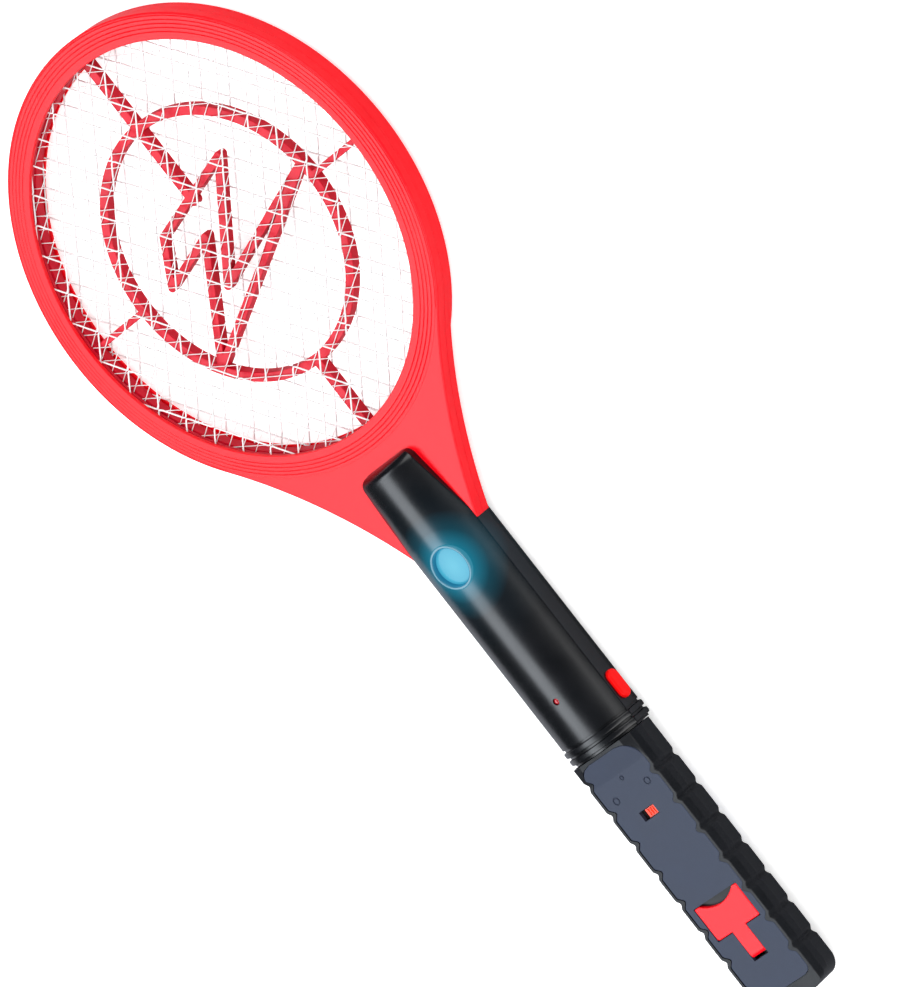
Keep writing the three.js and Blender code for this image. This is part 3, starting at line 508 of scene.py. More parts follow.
@dataclass(frozen=True)
class Finish:
    """A moulded plastic, metal or board surface.

    Colours are linear. The grain is the fine texture of the mould, the mottle is the slow
    change of shade and gloss across a part.
    """

    name: str
    colour: Colour
    roughness: float = 0.4
    metallic: float = 0.0
    specular: float = 0.5
    mottle: float = 0.06
    mottle_size: float = 18.0
    grain: float = 0.02
    grain_size: float = 0.45
    brushed: bool = False
    coat: float = 0.0
    coat_roughness: float = 0.1
    sheen: float = 0.0
    glow: Glow | None = None

    def material(self) -> bpy.types.Material:
        """Builds the finish's material, once.

        Returns:
            The material, the same one at each call.
        """
        known = bpy.data.materials.get(self.name)
        if known:
            return known
        material = bpy.data.materials.new(self.name)
        material.use_nodes = True
        tree = Tree(material.node_tree)
        shader = material.node_tree.nodes["Principled BSDF"]
        shader.inputs["Metallic"].default_value = self.metallic
        shader.inputs["Specular IOR Level"].default_value = self.specular
        shader.inputs["Coat Weight"].default_value = self.coat
        shader.inputs["Coat Roughness"].default_value = self.coat_roughness
        shader.inputs["Sheen Weight"].default_value = self.sheen
        place = tree.add("ShaderNodeTexCoord").outputs["Object"]
        self._colour(tree, shader, place)
        self._surface(tree, shader, place)
        if self.glow:
            self._lamp_light(tree, shader, place)
        return material

    def _colour(self, tree: Tree, shader: bpy.types.Node, place: bpy.types.NodeSocket) -> None:
        """Mottles the colour and the gloss slowly across the part.

        Args:
            tree: The material's tree.
            shader: Its shader node.
            place: The coordinates that the pattern reads.
        """
        mottle = tree.add("ShaderNodeTexNoise", {
            "Vector": place, "Scale": 1 / (self.mottle_size * MM), "Detail": 3.0})
        ramp = tree.add("ShaderNodeValToRGB", {"Fac": mottle.outputs["Fac"]})
        for element, share in zip(ramp.color_ramp.elements, (1 - self.mottle, 1 + self.mottle)):
            element.color = (*[channel * share for channel in self.colour], 1)
        ramp.color_ramp.elements[0].position = 0.35
        ramp.color_ramp.elements[1].position = 0.65
        tree.feed(shader.inputs["Base Color"], ramp.outputs["Color"])
        gloss = tree.add("ShaderNodeMapRange", {
            "Value": mottle.outputs["Fac"], "From Min": 0.3, "From Max": 0.7,
            "To Min": self.roughness * (1 - self.mottle), "To Max": self.roughness * (1 + self.mottle)})
        tree.feed(shader.inputs["Roughness"], gloss.outputs["Result"])

    def _surface(self, tree: Tree, shader: bpy.types.Node, place: bpy.types.NodeSocket) -> None:
        """Adds the mould's grain, or the lines of a brushed metal.

        Args:
            tree: The material's tree.
            shader: Its shader node.
            place: The coordinates that the pattern reads.
        """
        stretch = (1.0, 0.04, 1.0) if self.brushed else (1.0, 1.0, 1.0)
        drawn = tree.add("ShaderNodeMapping", {"Vector": place, "Scale": stretch})
        grain = tree.add("ShaderNodeTexNoise", {
            "Vector": drawn.outputs[0], "Scale": 1 / (self.grain_size * MM), "Detail": 2.0})
        bump = tree.add("ShaderNodeBump", {
            "Height": grain.outputs["Fac"], "Strength": self.grain, "Distance": self.grain_size * MM})
        tree.feed(shader.inputs["Normal"], bump.outputs["Normal"])

    def _lamp_light(self, tree: Tree, shader: bpy.types.Node, place: bpy.types.NodeSocket) -> None:
        """Paints the lamp's light into the colour as emission, fading with distance from the lamp.

        Args:
            tree: The material's tree.
            shader: Its shader node.
            place: The coordinates that the fading reads.
        """
        centre = [-value / self.glow.reach for value in self.glow.place]
        scale = 1 / (self.glow.reach * MM)
        centred = tree.add("ShaderNodeMapping", {
            "Vector": place, "Location": centre, "Scale": (scale, scale, scale)})
        fade = tree.add("ShaderNodeTexGradient", {"Vector": centred.outputs[0]}, gradient_type="SPHERICAL")
        ramp = tree.add("ShaderNodeValToRGB", {"Fac": fade.outputs["Fac"]})
        stops = ramp.color_ramp.elements
        while len(stops) < len(self.glow.colours):
            stops.new(0.5)
        for stop, (position, colour) in zip(stops, self.glow.colours):
            stop.position = position
            stop.color = (*colour, 1)
        tree.feed(shader.inputs["Emission Color"], ramp.outputs["Color"])
        shader.inputs["Emission Strength"].default_value = self.glow.strength


LAMP_PLACE = tuple(LENS.centre)
LED_PLACE = tuple(Extent.of("indicator_led").high)

RED = Finish(
    "red_plastic", (0.93, 0.002, 0.010), roughness=0.32, specular=0.25, mottle=0.02, grain=0.012)
CRIMSON = Finish(
    "crimson_web_plastic", (0.60, 0.003, 0.020), roughness=0.42, specular=0.3, mottle=0.06, grain=0.03)
SIGNAL_RED = Finish(
    "button_red_plastic", (0.88, 0.003, 0.003), roughness=0.36, specular=0.12, mottle=0.03)
# The teal glow on the black shell round the lamp is painted light: a pool of the lamp's light painted into
# the shell's colour as emission, fading with distance from the lens.
BLACK = Finish(
    "satin_black_plastic_painted_lamp_glow", (0.0034, 0.0040, 0.0055), roughness=0.24, specular=0.5, mottle=0.1, grain=0.008,
    glow=Glow(LAMP_PLACE, 44.0, (
        (0.0, (0, 0, 0)), (0.42, (0.0, 0.003, 0.005)), (0.6, (0.0, 0.045, 0.07)),
        (0.76, (0.004, 0.17, 0.26)))))
GRIP_BLACK = Finish(
    "grip_black_plastic", (0.0055, 0.0066, 0.0090), roughness=0.40, specular=0.30, mottle=0.1,
    grain=0.05, grain_size=0.7)
SLATE = Finish(
    "slate_plate_plastic", (0.031, 0.040, 0.068), roughness=0.45, specular=0.22, mottle=0.05,
    grain=0.05, grain_size=0.6)
ORANGE = Finish("orange_knob_plastic", (0.85, 0.05, 0.012), roughness=0.4)
SILVER = Finish(
    "drawn_aluminium", (0.88, 0.88, 0.88), roughness=0.4, metallic=0.0, mottle=0.04,
    grain=0.06, grain_size=0.5)
STEEL = Finish(
    "nickelled_steel", (0.55, 0.55, 0.57), roughness=0.28, metallic=1.0, grain=0.04, brushed=True)
CHROME = Finish("mirror_chrome", (0.9, 0.9, 0.92), roughness=0.08, metallic=1.0, grain=0.0)
BOARD_GREEN = Finish(
    "green_solder_mask", (0.012, 0.09, 0.03), roughness=0.35, coat=0.3, mottle=0.15, mottle_size=3)
PART_BLACK = Finish("black_component", (0.015, 0.015, 0.017), roughness=0.55, grain=0.06)
LEAD_RED = Finish("red_insulation", (0.6, 0.01, 0.01), roughness=0.35, sheen=0.05)
WINDING = Finish("amber_tape", (0.62, 0.33, 0.04), roughness=0.3, coat=0.4, grain=0.12, brushed=True)
CELL_BLUE = Finish("blue_shrink_sleeve", (0.02, 0.09, 0.35), roughness=0.25, coat=0.3)
LED_RED = Finish(
    "red_indicator_resin", (0.35, 0.01, 0.015), roughness=0.15, coat=0.5,
    glow=Glow(LED_PLACE, 30.0, ((0.0, (0.05, 0, 0)), (1.0, (0.10, 0.002, 0.004)))))
LED_WHITE = Finish(
    "white_led_resin", (0.85, 0.9, 0.9), roughness=0.2, coat=0.4,
    glow=Glow(LAMP_PLACE, 30.0, ((0.0, (0.3, 0.6, 0.7)), (1.0, (0.7, 0.95, 1.0)))))
LENS_CYAN = Finish(
    "lit_cyan_lens", (0.01, 0.05, 0.07), roughness=0.22, specular=0.2, mottle=0.03, coat=0.06,
    glow=Glow(LAMP_PLACE, 12.0, (
        (0.22, (0.03, 0.25, 0.40)), (0.36, (0.06, 0.39, 0.56)), (1.0, (0.10, 0.48, 0.64)))))
BEZEL_TEAL = Finish(
    "lamp_bezel_plastic", (0.01, 0.03, 0.045), roughness=0.25, coat=0.3,
    glow=Glow(LAMP_PLACE, 14.0, (
        (0.20, (0.03, 0.22, 0.30)), (0.27, (0.03, 0.22, 0.32)), (0.36, (0.004, 0.12, 0.24)))))


def dress(piece: bpy.types.Object, finish: Finish, slot: str, body: str, *nodes: str) -> bpy.types.Object:
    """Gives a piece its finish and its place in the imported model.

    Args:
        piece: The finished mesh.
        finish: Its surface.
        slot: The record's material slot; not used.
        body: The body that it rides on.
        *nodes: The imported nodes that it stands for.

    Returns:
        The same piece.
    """
    piece.data.materials.clear()
    piece.data.materials.append(finish.material())
    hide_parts(*nodes)
    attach(piece, body)
    LOG.info("%s: %d faces on %s", piece.name, len(piece.data.polygons), body)
    return piece


# ---- Head ----------------------------------------------------------------------------------


@dataclass
class HeadFrame:
    """The two red halves of the head's frame, with the throat that runs into the handle."""

    opening: float = 96.0
    seat: float = 99.0
    lip: float = 1.8
    rear_lip: float = 1.2
    front_round: float = 0.35
    rear_round: float = 0.4
    first_step: float = 99.6
    last_step_inset: float = 0.4
    steps: int = 5
    step_drop: float = 0.12
    groove_depth: float = 0.3
    groove_half: float = 0.26
    front_edge: float = 0.9
    rear_edge: float = 1.6
    throat_lean: float = 24.0
    throat_edge: float = 0.9
    throat_half: float = 5.0
    neck: float = 20.0
    neck_margin: float = 2.8
    neck_gap: float = 0.4
    rim_overlap: float = 2.0
    screws: int = 6
    facets: int = 256

    def front_profile(self) -> list[Point]:
        """The front half's section: fine steps that fall to the outside, each with a groove.

        Returns:
            Its corners as (radius, z), ready for the lathe.
        """
        top = FRONT_FRAME.high.z
        low = PARTING + HAIRLINE / 2
        pitch = (HEAD_RADIUS - self.front_edge - self.last_step_inset - self.first_step) / (self.steps - 1)
        points = [(self.seat, low), (self.seat, top - self.lip), (self.opening, top - self.lip)]
        points += arc((self.opening + self.front_round, top - self.front_round), self.front_round, 180, 90, 4)
        for step in range(self.steps):
            radius = self.first_step + step * pitch
            level = top - step * self.step_drop
            points += [
                (radius - self.groove_half, level), (radius, level - self.groove_depth),
                (radius + self.groove_half, level - self.step_drop)]
        level = top - self.steps * self.step_drop
        centre = (HEAD_RADIUS - self.front_edge, level - self.front_edge)
        points += arc(centre, self.front_edge, 90, 0, 6)
        points.append((HEAD_RADIUS, low))
        return points

    def rear_profile(self) -> list[Point]:
        """The rear half's section, plain with a rounded outer edge.

        Returns:
            Its corners as (radius, z), ready for the lathe.
        """
        back = REAR_FRAME.low.z
        high = PARTING - HAIRLINE / 2
        points = [(self.seat, high), (self.seat, back + self.rear_lip), (self.opening, back + self.rear_lip)]
        points += arc((self.opening + self.rear_round, back + self.rear_round), self.rear_round, 180, 270, 4)
        points += arc((HEAD_RADIUS - self.rear_edge, back + self.rear_edge), self.rear_edge, -90, 0, 6)
        points.append((HEAD_RADIUS, high))
        return points

    def throat_outline(self, inset: float) -> list[Point]:
        """The throat in plan: arcs that leave the rim smoothly and meet the handle at a lean.

        Args:
            inset: How far inside the true outline.

        Returns:
            The outline in the row's x and y.
        """
        lean = math.radians(self.throat_lean)
        corner = Vector((HANDLE_HALF, BODY_TOP - HEAD_CENTRE.y))
        away = Vector((math.cos(lean), -math.sin(lean)))
        radius = (corner.length_squared - HEAD_RADIUS ** 2) / (2 * (HEAD_RADIUS - corner.dot(away)))
        centre = corner + away * radius
        contact = centre.normalized() * HEAD_RADIUS
        start = math.degrees(math.atan2(*(corner - centre).yx)) % 360
        end = math.degrees(math.atan2(*(contact - centre).yx)) % 360
        edge = arc(tuple(centre), radius + inset, start, end, 40)
        right = [(x, y + HEAD_CENTRE.y) for x, y in edge]
        return right + mirrored(right)

    def throat(self, half: Half) -> bpy.types.Object:
        """One half of the throat and the neck inside the handle.

        Args:
            half: The front or the rear half.

        Returns:
            The solid that is joined to the half's ring.
        """
        outer = PARTING + half.value * self.throat_half
        inner = PARTING + half.value * HAIRLINE / 2
        sheets = [(inner, self.throat_outline(0))]
        for x, rise in arc((0, 0), self.throat_edge, 0, 90, 5):
            level = outer - half.value * (self.throat_edge - rise)
            sheets.append((level, self.throat_outline(self.throat_edge - x)))
        body = layers("throat", sheets)
        neck_half = HANDLE_HALF - self.neck_margin
        low, high = sorted((inner, outer - half.value * self.neck_gap))
        neck = block("neck", (-neck_half, BODY_TOP - self.neck, low), (neck_half, BODY_TOP + 1, high))
        combine(body, Join.ADD, [neck])
        inside = rod("inside", HEAD_CENTRE, HEAD_RADIUS - self.rim_overlap, -FAR, FAR, self.facets)
        return combine(body, Join.CUT, [inside])

    def build(self) -> None:
        """Makes both halves."""
        halves = (
            (Half.FRONT, "front_frame", self.front_profile()),
            (Half.REAR, "rear_frame", self.rear_profile()))
        for half, name, profile in halves:
            ring = lathe(f"{name}_fine", profile, HEAD_CENTRE, self.facets)
            combine(ring, Join.ADD, [self.throat(half)])
            if half is Half.REAR:
                combine(ring, Join.CUT, screw_bores("frame_screw", range(1, self.screws + 1)))
            dress(eased(ring), RED, "frame_red", "racket", name)


@dataclass
class Web:
    """The crimson spacer web: a rim wall, a ring, four spokes and a lightning bolt."""

    ring_radius: float = 61.6
    rib: float = 4.4
    cross_rib: float = 2.8
    bolt_rib: float = 3.8
    rim_wall: float = 2.4
    rim_gap: float = 0.3
    bridge_drop: float = 8.0
    edge: float = 0.45
    bolt: Sequence[Point] = ((61, 7), (-14, -14), (27, 31), (-26, 19), (-40, 0), (-7, 8), (-46, -40))

    def __post_init__(self) -> None:
        """Reads the web's height and radius from its node."""
        self.extent = Extent.of("spacer_web")
        self.radius = self.extent.high.x

    def bar(self, start: Point, end: Point, width: float) -> bpy.types.Object:
        """A straight rib with round ends and eased edges.

        Args:
            start: One end, measured from the head's centre.
            end: The other end.
            width: The rib's width.

        Returns:
            The rib.
        """
        run = Vector(end) - Vector(start)
        heading = math.degrees(math.atan2(run.y, run.x))
        sheets = []
        low, high = self.extent.low.z, self.extent.high.z
        for level, inset in (
                (low, self.edge), (low + self.edge, 0), (high - self.edge, 0),
                (high - self.edge * 0.3, self.edge * 0.3), (high, self.edge)):
            half = width / 2 - inset
            outline = arc(end, half, heading - 90, heading + 90, 10)
            outline += arc(start, half, heading + 90, heading + 270, 10)
            sheets.append((level, [(x, y + HEAD_CENTRE.y) for x, y in outline]))
        return layers("rib", sheets)

    def hoop(self, inner: float, outer: float) -> bpy.types.Object:
        """A ring of the web with eased edges.

        Args:
            inner: Its inner radius.
            outer: Its outer radius.

        Returns:
            The ring.
        """
        low, high = self.extent.low.z, self.extent.high.z
        corners = [(inner, low), (outer, low), (outer, high), (inner, high)]
        return lathe("hoop", rounded(corners, self.edge, 2), HEAD_CENTRE, 192)

    def build(self) -> None:
        """Joins the ribs into one moulding."""
        reach = self.radius - self.rib / 2 - self.rim_gap
        ring = self.ring_radius
        scale = ring / math.hypot(*self.bolt[0])
        corners = [(x * scale, y * scale) for x, y in self.bolt]
        bridge = corners[2][1] - self.bridge_drop
        ribs = [
            self.bar(corner, corners[(i + 1) % len(corners)], self.bolt_rib)
            for i, corner in enumerate(corners)]
        ribs += [
            self.bar((0, bridge), (0, reach), self.rib), self.bar((0, -reach), (0, -ring), self.rib),
            self.bar((ring, 0), (reach, 0), self.cross_rib),
            self.bar((-reach, 0), (-ring, 0), self.cross_rib),
            self.hoop(ring - self.rib / 2, ring + self.rib / 2)]
        web = self.hoop(self.radius - self.rim_wall, self.radius)
        web.name = "spacer_web_fine"
        combine(web, Join.ADD, ribs)
        dress(eased(web), CRIMSON, "web_red", "racket", "spacer_web")


@dataclass
class Mesh:
    """One expanded-metal grid: zigzag strands that are welded where they touch."""

    node: str
    cell_width: float
    cell_height: float
    strand: float
    thickness: float
    bond: float
    wander: float
    seed: int
    clip: float = 98.3
    points_per_cell: int = 16
    wander_scale: float = 38.0

    def tree(self) -> GeometryTree:
        """Builds the tree that lays the strands and trims them to the frame's seat.

        Returns:
            The tree, with a named input for each of the grid's sizes.
        """
        level = Extent.of(self.node).centre.z
        rows = 2 * math.ceil(2 * self.clip / self.cell_height) + 1
        columns = self.points_per_cell * math.ceil(2 * self.clip / self.cell_width) + 1
        tree = GeometryTree(f"{self.node}_strands", {
            "Cell Width": self.cell_width * MM, "Cell Height": self.cell_height * MM,
            "Strand Width": self.strand * MM, "Strand Thickness": self.thickness * MM,
            "Bond Share": self.bond, "Wander": self.wander * MM, "Seed": self.seed,
            "Clip Radius": self.clip * MM, "Level": level * MM, "Centre Y": HEAD_CENTRE.y * MM,
            "Rows": rows, "Columns": columns, "Material": SILVER.material()})
        given = tree.start
        half_cell = tree.math("MULTIPLY", given["Cell Height"], 0.5)
        pitch = tree.math("DIVIDE", given["Cell Width"], float(self.points_per_cell))
        gaps_x = tree.math("SUBTRACT", given["Columns"], 1.0)
        gaps_y = tree.math("SUBTRACT", given["Rows"], 1.0)
        first_x = tree.math("MULTIPLY", gaps_x, tree.math("MULTIPLY", pitch, -0.5))
        span_y = tree.math("MULTIPLY", gaps_y, tree.math("MULTIPLY", half_cell, -0.5))
        first_y = tree.math("ADD", given["Centre Y"], span_y)
        column = tree.add("GeometryNodeMeshLine", {
            "Count": given["Rows"], "Start Location": tree.vector(first_x, first_y, given["Level"]),
            "Offset": tree.vector(0.0, half_cell, 0.0)})
        strand = tree.add("GeometryNodeMeshLine", {
            "Count": given["Columns"], "Start Location": (0, 0, 0), "Offset": tree.vector(pitch, 0.0, 0.0)})
        laid = tree.add("GeometryNodeInstanceOnPoints", {
            "Points": column.outputs[0], "Instance": strand.outputs[0]})
        lines = tree.add("GeometryNodeRealizeInstances", {"Geometry": laid.outputs[0]})
        bent = self.zigzag(tree, lines.outputs[0], half_cell, first_y)
        trimmed = self.trim(tree, bent)
        curve = tree.add("GeometryNodeMeshToCurve", {"Mesh": trimmed})
        upright = tree.add("GeometryNodeSetCurveNormal", {"Curve": curve.outputs[0]}, mode="Z_UP")
        section = tree.add("GeometryNodeCurvePrimitiveQuadrilateral", {
            "Width": given["Strand Width"], "Height": given["Strand Thickness"]})
        swept = tree.add("GeometryNodeCurveToMesh", {
            "Curve": upright.outputs[0], "Profile Curve": section.outputs[0], "Fill Caps": True})
        tree.end(swept.outputs[0])
        return tree

    def zigzag(
            self, tree: GeometryTree, lines: bpy.types.NodeSocket, half_cell: bpy.types.NodeSocket,
            first_y: bpy.types.NodeSocket) -> bpy.types.NodeSocket:
        """Bends straight lines into strands that meet their neighbours at the bonds.

        Args:
            tree: The tree being written.
            lines: The straight lines.
            half_cell: Distance between two lines.
            first_y: The first line's y.

        Returns:
            The bent lines.
        """
        given = tree.start
        place = tree.add("ShaderNodeSeparateXYZ", {0: tree.add("GeometryNodeInputPosition").outputs[0]})
        rise = tree.math("SUBTRACT", place.outputs["Y"], first_y)
        row = tree.math("ROUND", tree.math("DIVIDE", rise, half_cell))
        shift = tree.math("FLOORED_MODULO", row, 2.0)
        phase = tree.math("MULTIPLY", tree.math("DIVIDE", place.outputs["X"], given["Cell Width"]), 2.0)
        fold = tree.math("PINGPONG", tree.math("ADD", phase, shift), 1.0)
        wave = tree.math("SUBTRACT", tree.math("MULTIPLY", fold, 2.0), 1.0)
        gain = tree.math("DIVIDE", 1.0, tree.math("SUBTRACT", 1.0, given["Bond Share"]))
        flat = tree.math("MAXIMUM", tree.math("MINIMUM", tree.math("MULTIPLY", wave, gain), 1.0), -1.0)
        touching = tree.math("MULTIPLY", given["Strand Width"], 0.49)
        reach = tree.math("SUBTRACT", tree.math("MULTIPLY", half_cell, 0.5), touching)
        noise = tree.add("ShaderNodeTexNoise", {
            "W": given["Seed"], "Scale": self.wander_scale, "Detail": 1.0}, noise_dimensions="4D")
        drift = tree.add("ShaderNodeVectorMath", {
            0: noise.outputs["Color"], 1: (0.5, 0.5, 0.5)}, operation="SUBTRACT")
        spread = tree.vector(given["Wander"], given["Wander"], 0.0)
        sway = tree.add("ShaderNodeVectorMath", {0: drift.outputs[0], 1: spread}, operation="MULTIPLY")
        bend = tree.vector(0.0, tree.math("MULTIPLY", flat, reach), 0.0)
        move = tree.add("ShaderNodeVectorMath", {0: bend, 1: sway.outputs[0]}, operation="ADD")
        return tree.add("GeometryNodeSetPosition", {"Geometry": lines, "Offset": move.outputs[0]}).outputs[0]

    def trim(self, tree: GeometryTree, lines: bpy.types.NodeSocket) -> bpy.types.NodeSocket:
        """Takes away what lies outside the clip radius.

        Args:
            tree: The tree being written.
            lines: The bent lines.

        Returns:
            What is left of the lines.
        """
        place = tree.add("GeometryNodeInputPosition").outputs[0]
        centre = tree.vector(0.0, tree.start["Centre Y"], tree.start["Level"])
        away = tree.add("ShaderNodeVectorMath", {0: place, 1: centre}, operation="DISTANCE")
        outside = tree.math("GREATER_THAN", away.outputs["Value"], tree.start["Clip Radius"])
        cut = tree.add("GeometryNodeDeleteGeometry", {
            "Geometry": lines, "Selection": outside}, domain="POINT")
        return cut.outputs[0]

    def build(self) -> None:
        """Runs the tree for this grid."""
        piece = self.tree().mesh(f"{self.node}_strands")
        dress(piece, SILVER, "grid_wire", "racket", self.node)


# ---- Handle --------------------------------------------------------------------------------


@dataclass
class HandleSection:
    """The handle's cross-section: flat sides, an arched front and the same arch cut flat behind."""

    flat_half: float = 5.0
    edge: float = 1.1
    arch_steps: int = 40
    side_grooves: Sequence[float] = (0.85,)
    groove: float = 0.32

    @property
    def rise(self) -> float:
        """Height of the arch above the flat sides."""
        return CROWN - PARTING - self.flat_half

    @property
    def radius(self) -> float:
        """The arch's radius."""
        return (HANDLE_HALF ** 2 + self.rise ** 2) / (2 * self.rise)

    def arch(self, half: float, inset: float) -> list[Point]:
        """The arch over a given half width, with its shoulders rounded.

        Args:
            half: Half the width.
            inset: How far inside the outer surface.

        Returns:
            Points from right to left, with z measured from the parting plane.
        """
        radius = self.radius - inset
        middle = CROWN - PARTING - self.radius
        half -= inset
        edge = min(self.edge, half * 0.4)
        lift = math.sqrt((radius - edge) ** 2 - (half - edge) ** 2)
        centre = (half - edge, middle + lift)
        turn = math.degrees(math.atan2(lift, half - edge))
        shoulder = arc(centre, edge, 0, turn, 5)
        crown = arc((0, middle), radius, turn, 180 - turn, self.arch_steps)
        return shoulder + crown[1:-1] + mirrored(shoulder)

    def front_ring(
            self, y: float, half: float, inset: float = 0.0, nose: float = 1.0,
            low: float | None = None) -> Ring:
        """A ring of the front shell, from its parting face over the arch.

        Args:
            y: The ring's place along the handle.
            half: Half the width there.
            inset: How far inside the outer surface.
            nose: 1 for the full arch, towards 0 where the nose rounds off.
            low: The ring's lowest z; the parting face if left out.

        Returns:
            The ring's points.
        """
        foot = (SHELL_PARTING + HAIRLINE / 2 if low is None else low) - PARTING
        points = [(half - inset, foot)] + self.arch(half, inset) + [(-half + inset, foot)]
        flat = self.flat_half
        lowered = [(x, z if z < flat else flat + (z - flat) * nose) for x, z in points]
        return [Vector((x, y, z + PARTING)) for x, z in lowered]

    def rear_ring(
            self, y: float, half: float, inset: float = 0.0, nose: float = 1.0,
            high: float | None = None) -> Ring:
        """A ring of the rear shell: grooved sides, the arch below and the flat back.

        Args:
            y: The ring's place along the handle.
            half: Half the width there.
            inset: How far inside the outer surface.
            nose: 1 for the full arch, towards 0 where the nose rounds off.
            high: The ring's highest z; the parting face if left out.

        Returns:
            The ring's points.
        """
        top = (SHELL_PARTING - HAIRLINE / 2 if high is None else high) - PARTING
        side: list[Point] = [(half - inset, top)]
        if not inset:
            for drop in self.side_grooves:
                side += [
                    (half, top - drop + self.groove), (half - self.groove, top - drop),
                    (half, top - drop - self.groove)]
        floor = -PARTING + inset
        flat = self.flat_half
        lower = [(x, max(-z * nose - flat * (1 - nose), floor)) for x, z in self.arch(half, inset)]
        points = side + lower + mirrored(side)
        return [Vector((x, y, z + PARTING)) for x, z in points]


@dataclass
class HandleBody:
    """The black body behind the throat: two shells, the collar, the lamp and the indicator."""

    section: HandleSection = field(default_factory=HandleSection)
    wall: float = 2.2
    tongue_half: float = 17.0
    tongue_corner: float = 5.0
    shoulder: float = 4.0
    nose: float = 5.5
    slot_gap: float = 0.08
    ring_length: float = 2.9
    ring_rim: float = 0.5
    ring_height: float = 0.62
    collar_sunk: float = 0.7
    bezel_crest: float = 0.45
    bezel_wall: float = 1.2
    lens_gap: float = 0.12
    lens_edge: float = 0.35
    lens_drop: float = 0.75
    lens_dome: float = 0.4
    indicator_dome: float = 0.6
    indicator_gap: float = 0.12
    lamp_gap: float = 0.05

    def half_at(self, y: float) -> float:
        """Half the body's width at a place along it.

        Args:
            y: The place.

        Returns:
            Half the width, narrowing over the tongue and rounded at its tip.
        """
        taper_start, taper_end = BODY_TOP + self.shoulder, TONGUE_TIP - self.tongue_corner
        if y <= taper_start:
            return HANDLE_HALF
        share = min((y - taper_start) / (taper_end - taper_start), 1.0)
        half = HANDLE_HALF + (self.tongue_half - HANDLE_HALF) * share
        past = max(y - taper_end, 0.0)
        return half - self.tongue_corner + math.sqrt(max(self.tongue_corner ** 2 - past ** 2, 0.0))

    def nose_at(self, y: float) -> float:
        """How much of the arch is left where the tongue rounds off at its tip."""
        past = max(y - (TONGUE_TIP - self.nose), 0.0) / self.nose
        return math.sqrt(max(1 - past ** 2, 0.0004))

    def stations(self, end: float) -> list[float]:
        """Places along the body, close together where its tip curves.

        Args:
            end: The first place, at the collar.

        Returns:
            The places, from the collar to the tip.
        """
        straight = [end, BODY_TOP, BODY_TOP + self.shoulder - 1, BODY_TOP + self.shoulder + 1]
        straight += [TONGUE_TIP - 20, TONGUE_TIP - 12, TONGUE_TIP - self.nose - 1]
        tip = [TONGUE_TIP - self.nose * math.cos(math.radians(angle)) for angle in range(0, 91, 6)]
        return straight + tip

    def skin(self, half: Half, inset: float) -> bpy.types.Object:
        """The outer skin, or the hollow inside it where inset is given.

        Args:
            half: The front or the rear shell.
            inset: How far inside the outer surface; 0 for the skin itself.

        Returns:
            The solid.
        """
        ring = self.section.front_ring if half is Half.FRONT else self.section.rear_ring
        limit = {"low" if half is Half.FRONT else "high": PARTING - half.value * 30} if inset else {}
        if inset:
            places = [BODY_END - 1, BODY_TOP, BODY_TOP + self.shoulder, TONGUE_TIP - self.nose - 2]
        else:
            places = self.stations(BODY_END + 0.15)
        rings = [ring(y, self.half_at(y), inset, 1.0 if inset else self.nose_at(y), **limit) for y in places]
        return loft("skin", rings)

    def button_bore(self) -> bpy.types.Object:
        """Cutter for the side button's hole.

        Returns:
            The cutter, which runs from inside the wall to past the handle's side.
        """
        button = SideButton()
        sides = (HANDLE_HALF - self.wall - 1.5, HANDLE_HALF + 5)
        return sideways("button_bore", [(x, button.pill(button.gap)) for x in sides])

    def throat_slot(self, half: Half) -> bpy.types.Object:
        """Cutter that lets the frame's throat into the shell.

        Args:
            half: The front or the rear shell.

        Returns:
            The cutter.
        """
        face = PARTING + half.value * (self.section.flat_half + self.slot_gap)
        low, high = sorted((face, PARTING - half.value * 40))
        return block("slot", (-FAR, BODY_TOP - 0.1, low), (FAR, FAR, high))

    def shell(self, half: Half) -> bpy.types.Object:
        """One shell of the body, hollow and cut for what passes through it.

        Args:
            half: The front or the rear shell.

        Returns:
            The dressed shell.
        """
        name = "front_shell" if half is Half.FRONT else "rear_shell"
        shell = self.skin(half, 0.0)
        shell.name = f"{name}_fine"
        cutters = [self.skin(half, self.wall), self.throat_slot(half), self.button_bore()]
        if half is Half.FRONT:
            indicator = Extent.of("indicator_led")
            lamp_radius = BEZEL.size.x / 2 + self.lamp_gap
            led_radius = indicator.size.x / 2 + self.indicator_gap
            cutters.append(rod("lamp_bore", BEZEL.centre, lamp_radius, PARTING + 6, FAR, 96))
            cutters.append(rod("indicator_bore", indicator.centre, led_radius, PARTING, FAR, 32))
        else:
            cutters += screw_bores("handle_screw", (1, 2, 3))
        combine(shell, Join.CUT, cutters)
        return dress(eased(shell), BLACK, "shell_black", "racket", name)

    def collar(self) -> bpy.types.Object:
        """The collar between body and grip, with its two rounded rings.

        Returns:
            The dressed collar.
        """
        sunk, raised = self.collar_sunk, -self.ring_height
        gap = (COLLAR.size.y - 2 * self.ring_length) / 3
        bead = [(0.0, sunk), (0.08, raised + self.ring_rim), (0.35, raised + 0.12), (0.8, raised)]
        stops = [(COLLAR.high.y, sunk)]
        for index in range(2):
            top = COLLAR.high.y - gap - index * (self.ring_length + gap)
            stops += [(top - along, inset) for along, inset in bead]
            stops += [(top - self.ring_length + along, inset) for along, inset in reversed(bead)]
        stops.append((COLLAR.low.y, sunk))
        rings = []
        for y, inset in stops:
            upper = self.section.arch(HANDLE_HALF, inset)
            lower = [(x, -min(z, PARTING - max(inset, 0))) for x, z in reversed(upper)]
            rings.append([Vector((x, y, z + PARTING)) for x, z in upper + lower])
        piece = loft("collar_fine", rings)
        return dress(eased(piece), BLACK, "shell_black", "racket", "collar")

